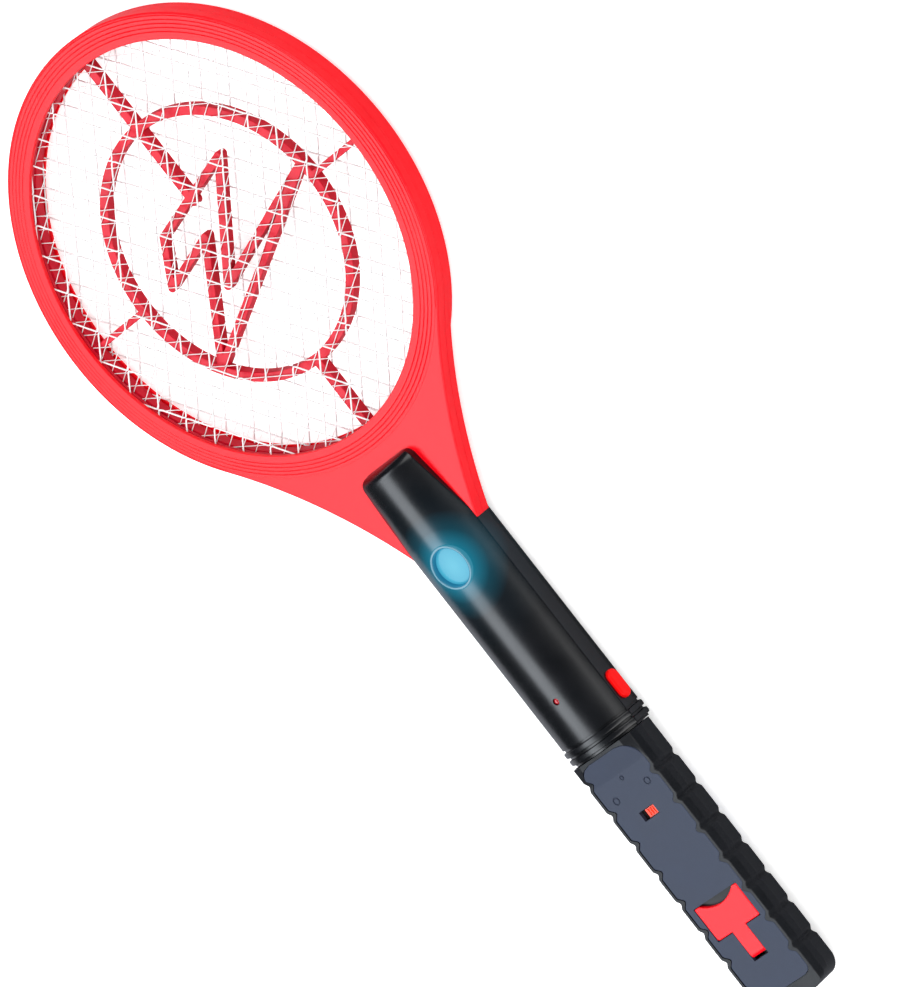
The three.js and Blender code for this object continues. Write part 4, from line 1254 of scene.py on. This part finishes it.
    def lamp(self) -> None:
        """The lamp's bezel and its lit, recessed lens."""
        radius, low, high = LENS.size.x / 2, LENS.low.z, LENS.high.z
        outer, top, crest = BEZEL.size.x / 2, BEZEL.high.z, self.bezel_crest
        inner, skirt = radius + self.lens_gap, outer - self.bezel_wall
        profile = [(inner, low - 1), (inner, top - crest)]
        profile += arc((inner + crest, top - crest), crest, 180, 90, 5)
        profile += arc((outer - crest, top - crest), crest, 90, 0, 5)
        profile += [(outer, BEZEL.low.z), (skirt, BEZEL.low.z), (skirt, low - 1)]
        bezel = lathe("lamp_bezel_fine", profile, BEZEL.centre, 128)
        dress(eased(bezel), BEZEL_TEAL, "shell_black", "racket", "lamp_bezel")
        edge, rim = self.lens_edge, high - self.lens_drop
        face = [(0.0, low), (radius, low), (radius, rim)] + arc((radius - edge, rim), edge, 0, 70, 4)
        for share in (0.9, 0.75, 0.6, 0.45, 0.3, 0.15):
            face.append((radius * share, high - self.lens_dome * share ** 2))
        face.append((0.0, high))
        lens = lathe("lamp_lens_fine", face, LENS.centre, 128)
        dress(eased(lens), LENS_CYAN, "lens_cyan", "racket", "lamp_lens")

    def indicator(self) -> None:
        """The small red indicator with a domed top, a little below the crown."""
        led = Extent.of("indicator_led")
        radius, top = led.size.x / 2, led.high.z
        rise = radius * self.indicator_dome
        profile = [(0.0, led.low.z), (radius, led.low.z)]
        for angle in map(math.radians, range(0, 91, 15)):
            profile.append((radius * math.cos(angle), top - rise * (1 - math.sin(angle))))
        piece = lathe("indicator_led_fine", profile, led.centre, 48)
        dress(eased(piece), LED_RED, "led_red", "racket", "indicator_led")

    def build(self) -> None:
        """Makes the shells, the collar, the lamp and the indicator."""
        self.shell(Half.FRONT)
        self.shell(Half.REAR)
        self.collar()
        self.lamp()
        self.indicator()


@dataclass
class SideButton:
    """The red push button in the handle's side."""

    flange: float = 1.2
    flange_grow: float = 1.0
    crest: float = 1.1
    face_inset: float = 0.8
    gap: float = 0.15

    def __post_init__(self) -> None:
        """Reads the button's place from its node."""
        self.extent = Extent.of("side_button")
        self.length = self.extent.size.y - 2 * self.flange_grow
        self.width = self.extent.size.z - 2 * self.flange_grow

    def pill(self, grow: float) -> list[Point]:
        """The button's outline in side view, grown by a margin.

        Args:
            grow: The margin.

        Returns:
            Its points as (y, z).
        """
        radius = self.width / 2 + grow
        middle = self.extent.centre
        straight = (self.length - self.width) / 2
        ahead = arc((middle.y + straight, middle.z), radius, -90, 90, 14)
        return ahead + arc((middle.y - straight, middle.z), radius, 90, 270, 14)

    def build(self) -> None:
        """Makes the button with its domed face and inner flange."""
        inner = self.extent.low.x
        face = self.extent.high.x
        base = inner + self.flange
        crest, grow = self.crest, self.flange_grow
        stops = [(inner, grow), (base, grow), (base + 0.01, 0.0), (face - crest, 0.0)]
        for angle in map(math.radians, (15, 30, 45, 60, 75)):
            stops.append((face - crest + crest * math.sin(angle), -crest * (1 - math.cos(angle))))
        stops += [(face - 0.02, -crest), (face, -crest - self.face_inset)]
        piece = sideways("side_button_fine", [(x, self.pill(grow)) for x, grow in stops])
        dress(eased(piece), SIGNAL_RED, "frame_red", "push_button", "side_button")


# ---- Grip ----------------------------------------------------------------------------------


@dataclass
class Grip:
    """The grip's two shells and its slate plate, pinched by staggered finger grooves."""

    plate_margin: float = 0.15
    wall: float = 2.6
    end_corner: float = 8.0
    groove_pitch: float = 15.8
    groove_half: float = 2.5
    groove_depth: float = 1.5
    notch: float = 1.3
    first_right: float = 18.8
    first_left: float = 9.4
    groove_end: float = 10.0
    plate_corner: float = 9.0
    plate_end_corner: float = 4.0
    ramp_length: float = 10.2
    plate_edge: float = 0.45
    edge: float = 1.3
    front_corners: Sequence[Point] = ((0.0, 4.2), (1.0, 7.2), (2.7, 10.2), (8.0, 12.2))
    rear_corners: Sequence[Point] = ((0.0, -4.4), (1.6, -7.6), (5.2, -10.6))
    back_inset: float = 8.5
    fade_start: float = 13.5
    fade_length: float = 3.8
    window_run: float = 3.1
    window_gap: float = 0.3
    door_gap: float = 0.25
    stem_gap: float = 0.3
    bay_floor: float = 3.2
    bay_half: float = 13.5
    bay_foot: float = 15.9
    bay_top: float = 4.9
    bay_wall: float = 1.5
    ledge: float = 1.9
    pin_gap: float = 0.9
    step: float = 0.8
    marks: Sequence[tuple[float, float, float]] = ((-10.6, 21.0, 1.9), (10.6, 21.0, 1.9), (0.0, 14.0, 1.2))
    mark_section: Sequence[Point] = (
        (-0.7, -0.3), (-0.35, -0.45), (0.0, -0.3), (0.05, 2.0), (-0.75, 2.0))
    mark_facets: int = 32
    seat_half: float = 10.0
    seat_reach: float = 5.0
    port_gap: float = 0.1

    @property
    def plate_thickness(self) -> float:
        """Thickness of the plate's flat part."""
        return COVER.high.z - self.plate_under

    @property
    def plate_face(self) -> float:
        """Height of the plate's flat front."""
        return COVER.high.z

    @property
    def plate_under(self) -> float:
        """Height of the plate's underside."""
        return PLATE.low.z

    def stations(self, top: float, end: float) -> list[float]:
        """Closely spaced places from one y down to another."""
        count = math.ceil((top - end) / self.step)
        return [top + (end - top) * i / count for i in range(count + 1)]

    def pinch(self, x: float, y: float, deeper: float = 0.0) -> float:
        """Moves a point of the grip's side inwards where a finger groove crosses it.

        Args:
            x: The point's x on the plain grip.
            y: Its place along the grip.
            deeper: Extra depth, which bites a notch into the plate's edge.

        Returns:
            The x on the grooved grip.
        """
        start = self.first_right if x > 0 else self.first_left
        along = GRIP_TOP - start - y
        if y < HANDLE_END + self.groove_end:
            return x
        nearest = max(round(along / self.groove_pitch), 0) * self.groove_pitch
        reach = self.groove_half + deeper / 2
        depth = (self.groove_depth + deeper) * (1 - smoothstep(abs(along - nearest) / reach))
        share = smoothstep((abs(x) - self.fade_start) / self.fade_length)
        return x - math.copysign(depth * share, x)

    def ramp(self, y: float) -> float:
        """Height of the plate's ramp above its flat part.

        Args:
            y: A place along the grip.

        Returns:
            The height, 0 below the ramp.
        """
        rise = PLATE.high.z - self.plate_face
        share = (y - (PLATE.high.y - self.ramp_length)) / self.ramp_length
        return rise * min(max(share, 0.0), 1.0)

    def half_at(self, y: float) -> float:
        """Half the grip's width, rounded in plan at the handle's end."""
        past = max(HANDLE_END + self.end_corner - y, 0.0)
        return HANDLE_HALF - self.end_corner + math.sqrt(max(self.end_corner ** 2 - past ** 2, 0.0))

    def outline(self, half: Half) -> list[Point]:
        """The cross-section of half of the grip.

        Args:
            half: The front or the rear shell.

        Returns:
            Its points as (x, z) from the parting plane, rounded but for the two at the parting.
        """
        if half is Half.FRONT:
            corners, middle = self.front_corners, GRIP_FRONT.high.z - PARTING
        else:
            corners, middle = (*self.rear_corners, (self.back_inset, -PARTING)), -PARTING
        right = [(HANDLE_HALF, SHELL_PARTING - PARTING + half.value * HAIRLINE / 2)]
        right += [(HANDLE_HALF - inset, z) for inset, z in corners]
        whole = right + [(0.0, middle)] + mirrored(right)
        steps = 3
        smooth = rounded(whole, self.edge, steps)
        return [whole[0], *smooth[steps + 1:-steps - 1], whole[-1]]

    def ring(self, half: Half, y: float) -> Ring:
        """A ring of the grip, pinched and trimmed level with the plate.

        Args:
            half: The front or the rear shell.
            y: The ring's place along the grip.

        Returns:
            The ring's points.
        """
        width = self.half_at(y)
        limit = self.plate_face + 0.2 + self.ramp(y)
        if y > PLATE.high.y - 0.2:
            limit = FAR
        points = []
        for x, z in self.outline(half):
            side = math.copysign(min(abs(x), width), x) if x else 0.0
            points.append(Vector((self.pinch(side, y), y, min(z + PARTING, limit))))
        return points

    def plate_half(self, y: float, grow: float = 0.0) -> float:
        """Half the plate's width, with its corners rounded in plan.

        Args:
            y: The place along the plate.
            grow: A margin all round.

        Returns:
            Half the width.
        """
        half = PLATE.high.x + grow
        past_top = max(y - (PLATE.high.y + grow - self.plate_corner), 0.0)
        past_end = max((PLATE.low.y - grow + self.plate_end_corner) - y, 0.0)
        half -= self.plate_corner - math.sqrt(max(self.plate_corner ** 2 - past_top ** 2, 0.0))
        return half - self.plate_end_corner + math.sqrt(max(self.plate_end_corner ** 2 - past_end ** 2, 0.0))

    def plate_solid(self, grow: float) -> bpy.types.Object:
        """The plate, or the recess that it sits in where grow is given.

        Args:
            grow: The recess's margin round the plate; 0 for the plate itself.

        Returns:
            The solid.
        """
        top, end = PLATE.high.y + grow, PLATE.low.y - grow
        rings = []
        for y in self.stations(top, end):
            half = max(self.plate_half(y, grow), 0.6)
            low = self.plate_under + self.ramp(y) - grow
            face = low + self.plate_thickness + (FAR if grow else 0.0)
            edge = 0.0 if grow else self.plate_edge
            cut = 0.3 * edge
            right = [(half, low), (half, face - edge), (half - cut, face - cut), (half - edge, face)]
            rings.append([Vector((self.pinch(x, y, self.notch), y, z)) for x, z in right + mirrored(right)])
        return loft("plate", rings)

    def window(self) -> bpy.types.Object:
        """Cutter for the slide switch's window.

        Returns:
            A block round the knob and the whole of its travel.
        """
        knob, gap = Extent.of("switch_knob"), self.window_gap
        low = (knob.low.x - self.window_run, knob.low.y - gap, self.plate_under - 6)
        return block("window", low, (knob.high.x + gap, knob.high.y + gap, FAR))

    def doorway(self) -> list[bpy.types.Object]:
        """Cutters for the charging cover and its stem in the plate.

        Returns:
            One block for the panel and one for the stem.
        """
        gap, stem = self.door_gap, STEM_HALF + self.stem_gap
        foot = COVER.high.y - COVER_LENGTH
        far_corner = (COVER.high.x + gap, COVER.high.y + gap, FAR)
        door = block("door", (COVER.low.x - gap, foot - gap, 0), far_corner)
        return [door, block("stem", (-stem, PIN.centre.y - 3.5, 0), (stem, foot, FAR))]

    def dimples(self) -> list[bpy.types.Object]:
        """Cutters for the moulding marks near the plate's ramp.

        Returns:
            A shallow ring for each mark.
        """
        marks = []
        for x, offset, radius in self.marks:
            centre = Vector((x, GRIP_TOP - offset, 0))
            face = self.plate_face + self.ramp(centre.y)
            profile = [(radius + across, face + up) for across, up in self.mark_section]
            marks.append(lathe("mark", profile, centre, self.mark_facets))
        return marks

    def carve_front(self, shell: bpy.types.Object, inner: float) -> None:
        """Hollows the front shell and makes the charging bay and the cover's hinge seat in it.

        Args:
            shell: The front shell.
            inner: Half the width inside its walls.
        """
        under = self.plate_under - self.ledge
        foot, top = COVER.high.y - self.bay_foot, COVER.high.y - self.bay_top
        floor, half, wall = PARTING + self.bay_floor, self.bay_half, self.bay_wall
        hinge, gap, stem = PIN.centre, self.pin_gap, STEM_HALF + self.stem_gap
        port, slack = Extent.of("charge_port"), self.port_gap
        side, reach = self.seat_half, self.seat_reach
        combine(shell, Join.CUT, [
            block("hollow", (-inner + 3, HANDLE_END + 12, 0), (inner - 3, GRIP_TOP - self.wall, under - 3))])
        combine(shell, Join.ADD, [
            block("tub", (-half - wall, foot - wall, floor - wall), (half + wall, top + wall, under + 1)),
            block("seat", (-side, hinge.y - reach, hinge.z - reach), (side, hinge.y + reach, under + wall))])
        combine(shell, Join.CUT, [
            self.plate_solid(self.plate_margin), self.window(),
            block("bay", (-half, foot, floor), (half, top, FAR)),
            block(
                "port", (port.low.x - slack, port.low.y - slack, 0),
                (port.high.x + slack, port.high.y + slack, floor + 1)),
            block("knuckle", (-stem, hinge.y - 3.4, hinge.z - 2.2), (stem, hinge.y + 3.1, FAR)),
            block(
                "pin", (PIN.low.x - 0.2, hinge.y - gap, hinge.z - gap),
                (PIN.high.x + 0.2, hinge.y + gap, FAR))])

    def shell(self, half: Half) -> bpy.types.Object:
        """One shell of the grip.

        Args:
            half: The front or the rear shell.

        Returns:
            The dressed shell.
        """
        name = "grip_front" if half is Half.FRONT else "grip_rear"
        rings = [self.ring(half, y) for y in self.stations(GRIP_TOP, HANDLE_END + self.end_corner + 0.4)]
        for angle in map(math.radians, range(6, 91, 6)):
            rings.append(self.ring(half, HANDLE_END + self.end_corner * (1 - math.sin(angle))))
        shell = loft(f"{name}_fine", rings)
        inner = HANDLE_HALF - self.wall
        if half is Half.FRONT:
            self.carve_front(shell, inner)
        else:
            hollow = block(
                "hollow", (-inner + 5, HANDLE_END + 8, self.wall), (inner - 5, GRIP_TOP - self.wall, FAR))
            combine(shell, Join.CUT, [*screw_bores("handle_screw", (4, 5)), hollow])
        return dress(eased(shell), GRIP_BLACK, "shell_black", "racket", name)

    def plate(self) -> bpy.types.Object:
        """The slate plate with its window, doorway and moulding marks.

        Returns:
            The dressed plate.
        """
        plate = self.plate_solid(0.0)
        plate.name = "grip_plate_fine"
        combine(plate, Join.CUT, [self.window(), *self.doorway(), *self.dimples()])
        return dress(eased(plate, crease=math.radians(8)), SLATE, "plate_slate", "racket", "grip_plate")

    def build(self) -> None:
        """Makes the grip's shells and its plate."""
        self.shell(Half.FRONT)
        self.shell(Half.REAR)
        self.plate()


@dataclass
class SlideSwitch:
    """The orange knob of the slide switch, ridged for the thumb."""

    ridges: int = 3
    ridge_height: float = 0.5
    ridge_foot: float = 0.5
    ridge_crest: float = 0.3
    ridge_inset: float = 0.5
    edge: float = 0.12

    def build(self) -> None:
        """Makes the knob."""
        extent = Extent.of("switch_knob")
        low, high = extent.low.copy(), extent.high.copy()
        high.z -= self.ridge_height
        knob = block("switch_knob_fine", low, high)
        pitch = extent.size.x / (self.ridges + 1)
        ridges = []
        for index in range(self.ridges):
            x = low.x + pitch * (index + 1)
            profile = [
                (x - self.ridge_foot, high.z - 0.2), (x + self.ridge_foot, high.z - 0.2),
                (x + self.ridge_crest, extent.high.z), (x - self.ridge_crest, extent.high.z)]
            ends = (low.y + self.ridge_inset, high.y - self.ridge_inset)
            ridges.append(loft("ridge", [[Vector((px, y, pz)) for px, pz in profile] for y in ends]))
        combine(knob, Join.ADD, ridges)
        dress(eased(knob, self.edge), ORANGE, "knob_orange", "slide_knob", "switch_knob")


@dataclass
class ChargeCover:
    """The red charging cover with its thumb scoop, stem and hinge knuckle."""

    scoop_half: float = 11.0
    scoop_depth: float = 3.7
    thickness: float = 1.8
    knuckle: float = 1.9
    pin_bore: float = 0.9
    edge: float = 0.5
    corner: float = 1.2
    nick: float = 0.4

    def panel(self, inset: float) -> list[Point]:
        """The cover's plan with its scooped top edge.

        Args:
            inset: How far inside the true plan.

        Returns:
            Its points as (x, y).
        """
        half, top, nick = COVER.high.x - inset, COVER.high.y - inset, self.nick
        foot = COVER.high.y - COVER_LENGTH + inset
        radius = (self.scoop_half ** 2 + self.scoop_depth ** 2) / (2 * self.scoop_depth)
        reach = math.degrees(math.asin(self.scoop_half / radius))
        centre = (0.0, COVER.high.y + radius - self.scoop_depth)
        scoop = arc(centre, radius + inset, 270 + reach, 270 - reach, 16)
        corners = [
            *arc((-half + self.corner, foot + self.corner), self.corner, 180, 270, 4),
            *arc((half - self.corner, foot + self.corner), self.corner, 270, 360, 4)]
        right, left = [(half, top - nick), (half - nick, top)], [(-half + nick, top), (-half, top - nick)]
        return corners + right + scoop + left

    def build(self) -> None:
        """Makes the cover, joined to its stem and knuckle."""
        face, under = COVER.high.z, COVER.high.z - self.thickness
        sheets = [(under, self.panel(0.0)), (face - self.edge, self.panel(0.0))]
        for angle in map(math.radians, (30, 60, 90)):
            panel = self.panel(self.edge * (1 - math.cos(angle)))
            sheets.append((face - self.edge * (1 - math.sin(angle)), panel))
        cover = layers("charge_cover_fine", sheets)
        foot = COVER.high.y - COVER_LENGTH
        hinge = (PIN.centre.y, PIN.centre.z)
        sides = (-STEM_HALF, STEM_HALF)
        stem = block("stem", (-STEM_HALF, hinge[0], under), (STEM_HALF, foot + 2, face))
        knuckle = sideways("knuckle", [(x, arc(hinge, self.knuckle, 0, 350, 35)) for x in sides])
        heel = sideways("heel", [(x, arc(hinge, face - hinge[1], 90, 135, 8) + [hinge]) for x in sides])
        combine(cover, Join.ADD, [stem, knuckle, heel])
        bore = sideways("bore", [(x, arc(hinge, self.pin_bore, 0, 345, 23)) for x in (-20, 20)])
        combine(cover, Join.CUT, [bore])
        dress(eased(cover), RED, "frame_red", "cover", "charge_cover")


@dataclass
class Screws:
    """Cross-head screws, driven in from the back."""

    head_radius: float = 2.6
    head_height: float = 1.6
    shank_radius: float = 1.2
    recess: float = 0.9
    recess_width: float = 0.62
    recess_span: float = 2.9

    def tree(self, name: str, length: float) -> GeometryTree:
        """Builds the tree that sets one screw on each point, its head downwards.

        Args:
            name: The tree's name.
            length: The screws' length.

        Returns:
            The tree.
        """
        tree = GeometryTree(name, {
            "Head Radius": self.head_radius * MM, "Head Height": self.head_height * MM,
            "Shank Radius": self.shank_radius * MM, "Length": length * MM, "Recess Depth": self.recess * MM,
            "Recess Width": self.recess_width * MM, "Recess Span": self.recess_span * MM,
            "Material": STEEL.material()})
        given = tree.start
        head = self.rod(tree, given["Head Radius"], given["Head Height"], 0.0)
        depth = tree.math("MULTIPLY", given["Recess Depth"], 2.0)
        span, width = given["Recess Span"], given["Recess Width"]
        bars = [
            tree.add("GeometryNodeMeshCube", {"Size": tree.vector(x, y, depth)}).outputs[0]
            for x, y in ((span, width), (width, span))]
        cut = tree.add("GeometryNodeMeshBoolean", {"Mesh 1": head}, operation="DIFFERENCE", solver="EXACT")
        for bar in bars:
            tree.tree.links.new(bar, cut.inputs["Mesh 2"])
        shank_length = tree.math("SUBTRACT", given["Length"], given["Head Height"])
        shank = self.rod(tree, given["Shank Radius"], shank_length, given["Head Height"])
        whole = tree.add("GeometryNodeMeshBoolean", {}, operation="UNION", solver="EXACT")
        for part in (cut.outputs[0], shank):
            tree.tree.links.new(part, whole.inputs["Mesh 2"])
        placed = tree.add("GeometryNodeInstanceOnPoints", {
            "Points": given["Geometry"], "Instance": whole.outputs[0]})
        tree.end(placed.outputs[0])
        return tree

    def rod(self, tree: GeometryTree, radius: Any, length: Any, start: Any) -> bpy.types.NodeSocket:
        """An upright rod in the tree.

        Args:
            tree: The tree being written.
            radius: The rod's radius, a socket or a number.
            length: Its length.
            start: The height that it stands on.

        Returns:
            The rod's geometry.
        """
        solid = tree.add("GeometryNodeMeshCylinder", {"Vertices": 32, "Radius": radius, "Depth": length})
        middle = tree.math("ADD", tree.math("MULTIPLY", length, 0.5), start)
        moved = tree.add("GeometryNodeTransform", {
            "Geometry": solid.outputs[0], "Translation": tree.vector(0.0, 0.0, middle)})
        return moved.outputs[0]

    def build(self) -> None:
        """Makes the frame's screws and the handle's screws."""
        for group, count in (("frame_screw", 6), ("handle_screw", 5)):
            names = [f"{group}_{index}" for index in range(1, count + 1)]
            extents = [Extent.of(name) for name in names]
            places = [Vector((extent.centre.x, extent.centre.y, extent.low.z)) for extent in extents]
            piece = self.tree(f"{group}s", extents[0].size.z).mesh(f"{group}s_fine", places)
            dress(piece, STEEL, "steel", "racket", *names)


# ---- Carried-over nodes, stage, light and camera -------------------------------------------


@dataclass
class InnerParts:
    """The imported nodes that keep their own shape, mostly inside the handle."""

    finishes: dict[str, Finish] = field(default_factory=lambda: {
        "grid_spacer": CRIMSON, "lamp_reflector": CHROME, "lamp_led": LED_WHITE, "tact_switch": PART_BLACK,
        "circuit_board": BOARD_GREEN, "charge_board": BOARD_GREEN, "transformer": WINDING,
        "capacitor": PART_BLACK, "grid_lead_left": LEAD_RED, "grid_lead_right": PART_BLACK,
        "switch_body": STEEL, "cover_pin": STEEL, "charge_port": STEEL, "battery_cell_left": CELL_BLUE,
        "battery_cell_right": CELL_BLUE, "battery_strap_top": STEEL, "battery_strap_end": STEEL})

    def build(self) -> None:
        """Puts a finish on each carried-over node."""
        for node, finish in self.finishes.items():
            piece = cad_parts[node]
            piece.data.materials.clear()
            piece.data.materials.append(finish.material())
            LOG.info("%s: kept, %s", node, finish.name)


@dataclass
class Softbox:
    """A soft rectangular light, aimed at a point."""

    name: str
    direction: tuple[float, float, float]
    distance: float
    size: tuple[float, float]
    power: float
    colour: tuple[float, float, float] = (1.0, 1.0, 1.0)
    target: tuple[float, float, float] = (0.0, 0.0, 10.0)

    def build(self) -> None:
        """Hangs the light."""
        data = bpy.data.lights.new(self.name, "AREA")
        data.shape = "RECTANGLE"
        data.size, data.size_y = (length * MM for length in self.size)
        data.energy = self.power
        data.color = self.colour
        lamp = bpy.data.objects.new(self.name, data)
        aim = Vector(self.direction).normalized()
        lamp.location = (Vector(self.target) + aim * self.distance) * MM
        lamp.rotation_mode = "QUATERNION"
        lamp.rotation_quaternion = (-aim).to_track_quat("-Z", "Y")
        bpy.context.scene.collection.objects.link(lamp)


@dataclass
class Studio:
    """A pale floor, plain soft light and the camera."""

    floor_half: float = 2500.0
    floor_level: float = -0.05
    floor_depth: float = 6.0
    floor_glow: float = 0.6
    world_light: float = 0.30
    world_shine: float = 0.03
    azimuth: float = 91.84
    elevation: float = 48.05
    roll: float = 129.33
    distance: float = 3378.4
    lens: float = 291.8
    sensor: float = 36.0
    lift: float = 0.003
    aim: tuple[float, float, float] = (12.25, -142.85, -1.68)
    lights: Sequence[Softbox] = (
        Softbox(
            "long_softbox", direction=(-0.63, -0.02, 0.78), distance=1300, size=(1800, 520),
            power=15.5, colour=(0.88, 0.94, 1.0)),
        Softbox(
            "head_softbox", direction=(0.42, 0.60, 0.80), distance=1500, size=(1200, 1200),
            power=13.5),
        Softbox(
            "foot_softbox", direction=(0.42, -0.60, 0.80), distance=1500, size=(1200, 1200),
            power=13.5),
    )

    def floor(self) -> None:
        """Lays a pale floor that shows white but is dim in the object's reflections."""
        half = self.floor_half
        floor = layers("floor", [
            (z, [(-half, -half), (half, -half), (half, half), (-half, half)])
            for z in (-self.floor_depth, self.floor_level)])
        material = bpy.data.materials.new("pale_floor")
        material.use_nodes = True
        tree = Tree(material.node_tree)
        shader = material.node_tree.nodes["Principled BSDF"]
        shader.inputs["Roughness"].default_value = 0.9
        shader.inputs["Specular IOR Level"].default_value = 0.1
        shader.inputs["Emission Color"].default_value = (1, 1, 1, 1)
        path = tree.add("ShaderNodeLightPath").outputs
        shown = tree.add("ShaderNodeMapRange", {
            "Value": path["Is Camera Ray"], "To Min": 0.0, "To Max": self.floor_glow})
        tree.feed(shader.inputs["Emission Strength"], shown.outputs["Result"])
        paint = tree.add("ShaderNodeMix", {
            "Factor": path["Is Glossy Ray"], "A": (0.9, 0.9, 0.9, 1),
            "B": (0.40, 0.40, 0.43, 1)}, data_type="RGBA")
        tree.feed(shader.inputs["Base Color"], paint.outputs["Result"])
        floor.data.materials.append(material)

    def world(self) -> None:
        """Sets an even, dim surrounding that shows pale behind the floor."""
        world = bpy.data.worlds.new("studio")
        world.use_nodes = True
        tree = Tree(world.node_tree)
        background = world.node_tree.nodes["Background"]
        path = tree.add("ShaderNodeLightPath").outputs
        dimmed = tree.add("ShaderNodeMapRange", {
            "Value": path["Is Glossy Ray"], "To Min": self.world_light, "To Max": self.world_shine})
        level = tree.add("ShaderNodeMapRange", {
            "Value": path["Is Camera Ray"], "To Min": dimmed.outputs["Result"], "To Max": 1.0})
        background.inputs["Color"].default_value = (1, 1, 1, 1)
        tree.feed(background.inputs["Strength"], level.outputs["Result"])
        bpy.context.scene.world = world

    def camera(self) -> None:
        """Sets up the camera at its viewing angle."""
        target = Vector((0, HEAD_CENTRE.y, PARTING)) + Vector(self.aim)
        angles = (self.azimuth, self.elevation, self.roll)
        azimuth, elevation, roll = (math.radians(angle) for angle in angles)
        level_part = math.cos(elevation)
        back = Vector((math.sin(azimuth) * level_part, -math.cos(azimuth) * level_part, math.sin(elevation)))
        level = (Vector((0, 0, 1)) - back * back.z).normalized()
        up = level * math.cos(roll) + (-back).cross(level) * math.sin(roll)
        turn = Matrix((up.cross(back), up, back)).transposed()
        data = bpy.data.cameras.new("camera")
        data.lens = self.lens
        data.sensor_width = self.sensor
        data.shift_y = self.lift
        data.clip_start, data.clip_end = 0.1, 100
        camera = bpy.data.objects.new("camera", data)
        camera.matrix_world = Matrix.Translation((target + back * self.distance) * MM) @ turn.to_4x4()
        bpy.context.scene.collection.objects.link(camera)
        bpy.context.scene.camera = camera

    def build(self) -> None:
        """Sets the stage, the lights and the camera."""
        self.floor()
        self.world()
        for light in self.lights:
            light.build()
        self.camera()
        bpy.context.scene.view_settings.view_transform = "Standard"


def main() -> None:
    """Builds every sub-assembly, then the stage."""
    logging.basicConfig(level=logging.INFO, format="%(name)s: %(message)s")
    guard = Mesh(
        "front_guard_grid", cell_width=19.2, cell_height=21.0, strand=0.55, thickness=0.5, bond=0.09,
        wander=0.9, seed=3)
    charged = Mesh(
        "charged_grid", cell_width=14.0, cell_height=7.0, strand=0.28, thickness=0.35, bond=0.09,
        wander=0.8, seed=11)
    assemblies: list[Assembly] = [
        HeadFrame(), Web(), guard, charged, replace(guard, node="rear_guard_grid", seed=29),
        HandleBody(), SideButton(), Grip(), SlideSwitch(), ChargeCover(), Screws(), InnerParts(), Studio()]
    for assembly in assemblies:
        LOG.info("building %s", type(assembly).__name__)
        assembly.build()


if __name__ == "__main__":
    main()
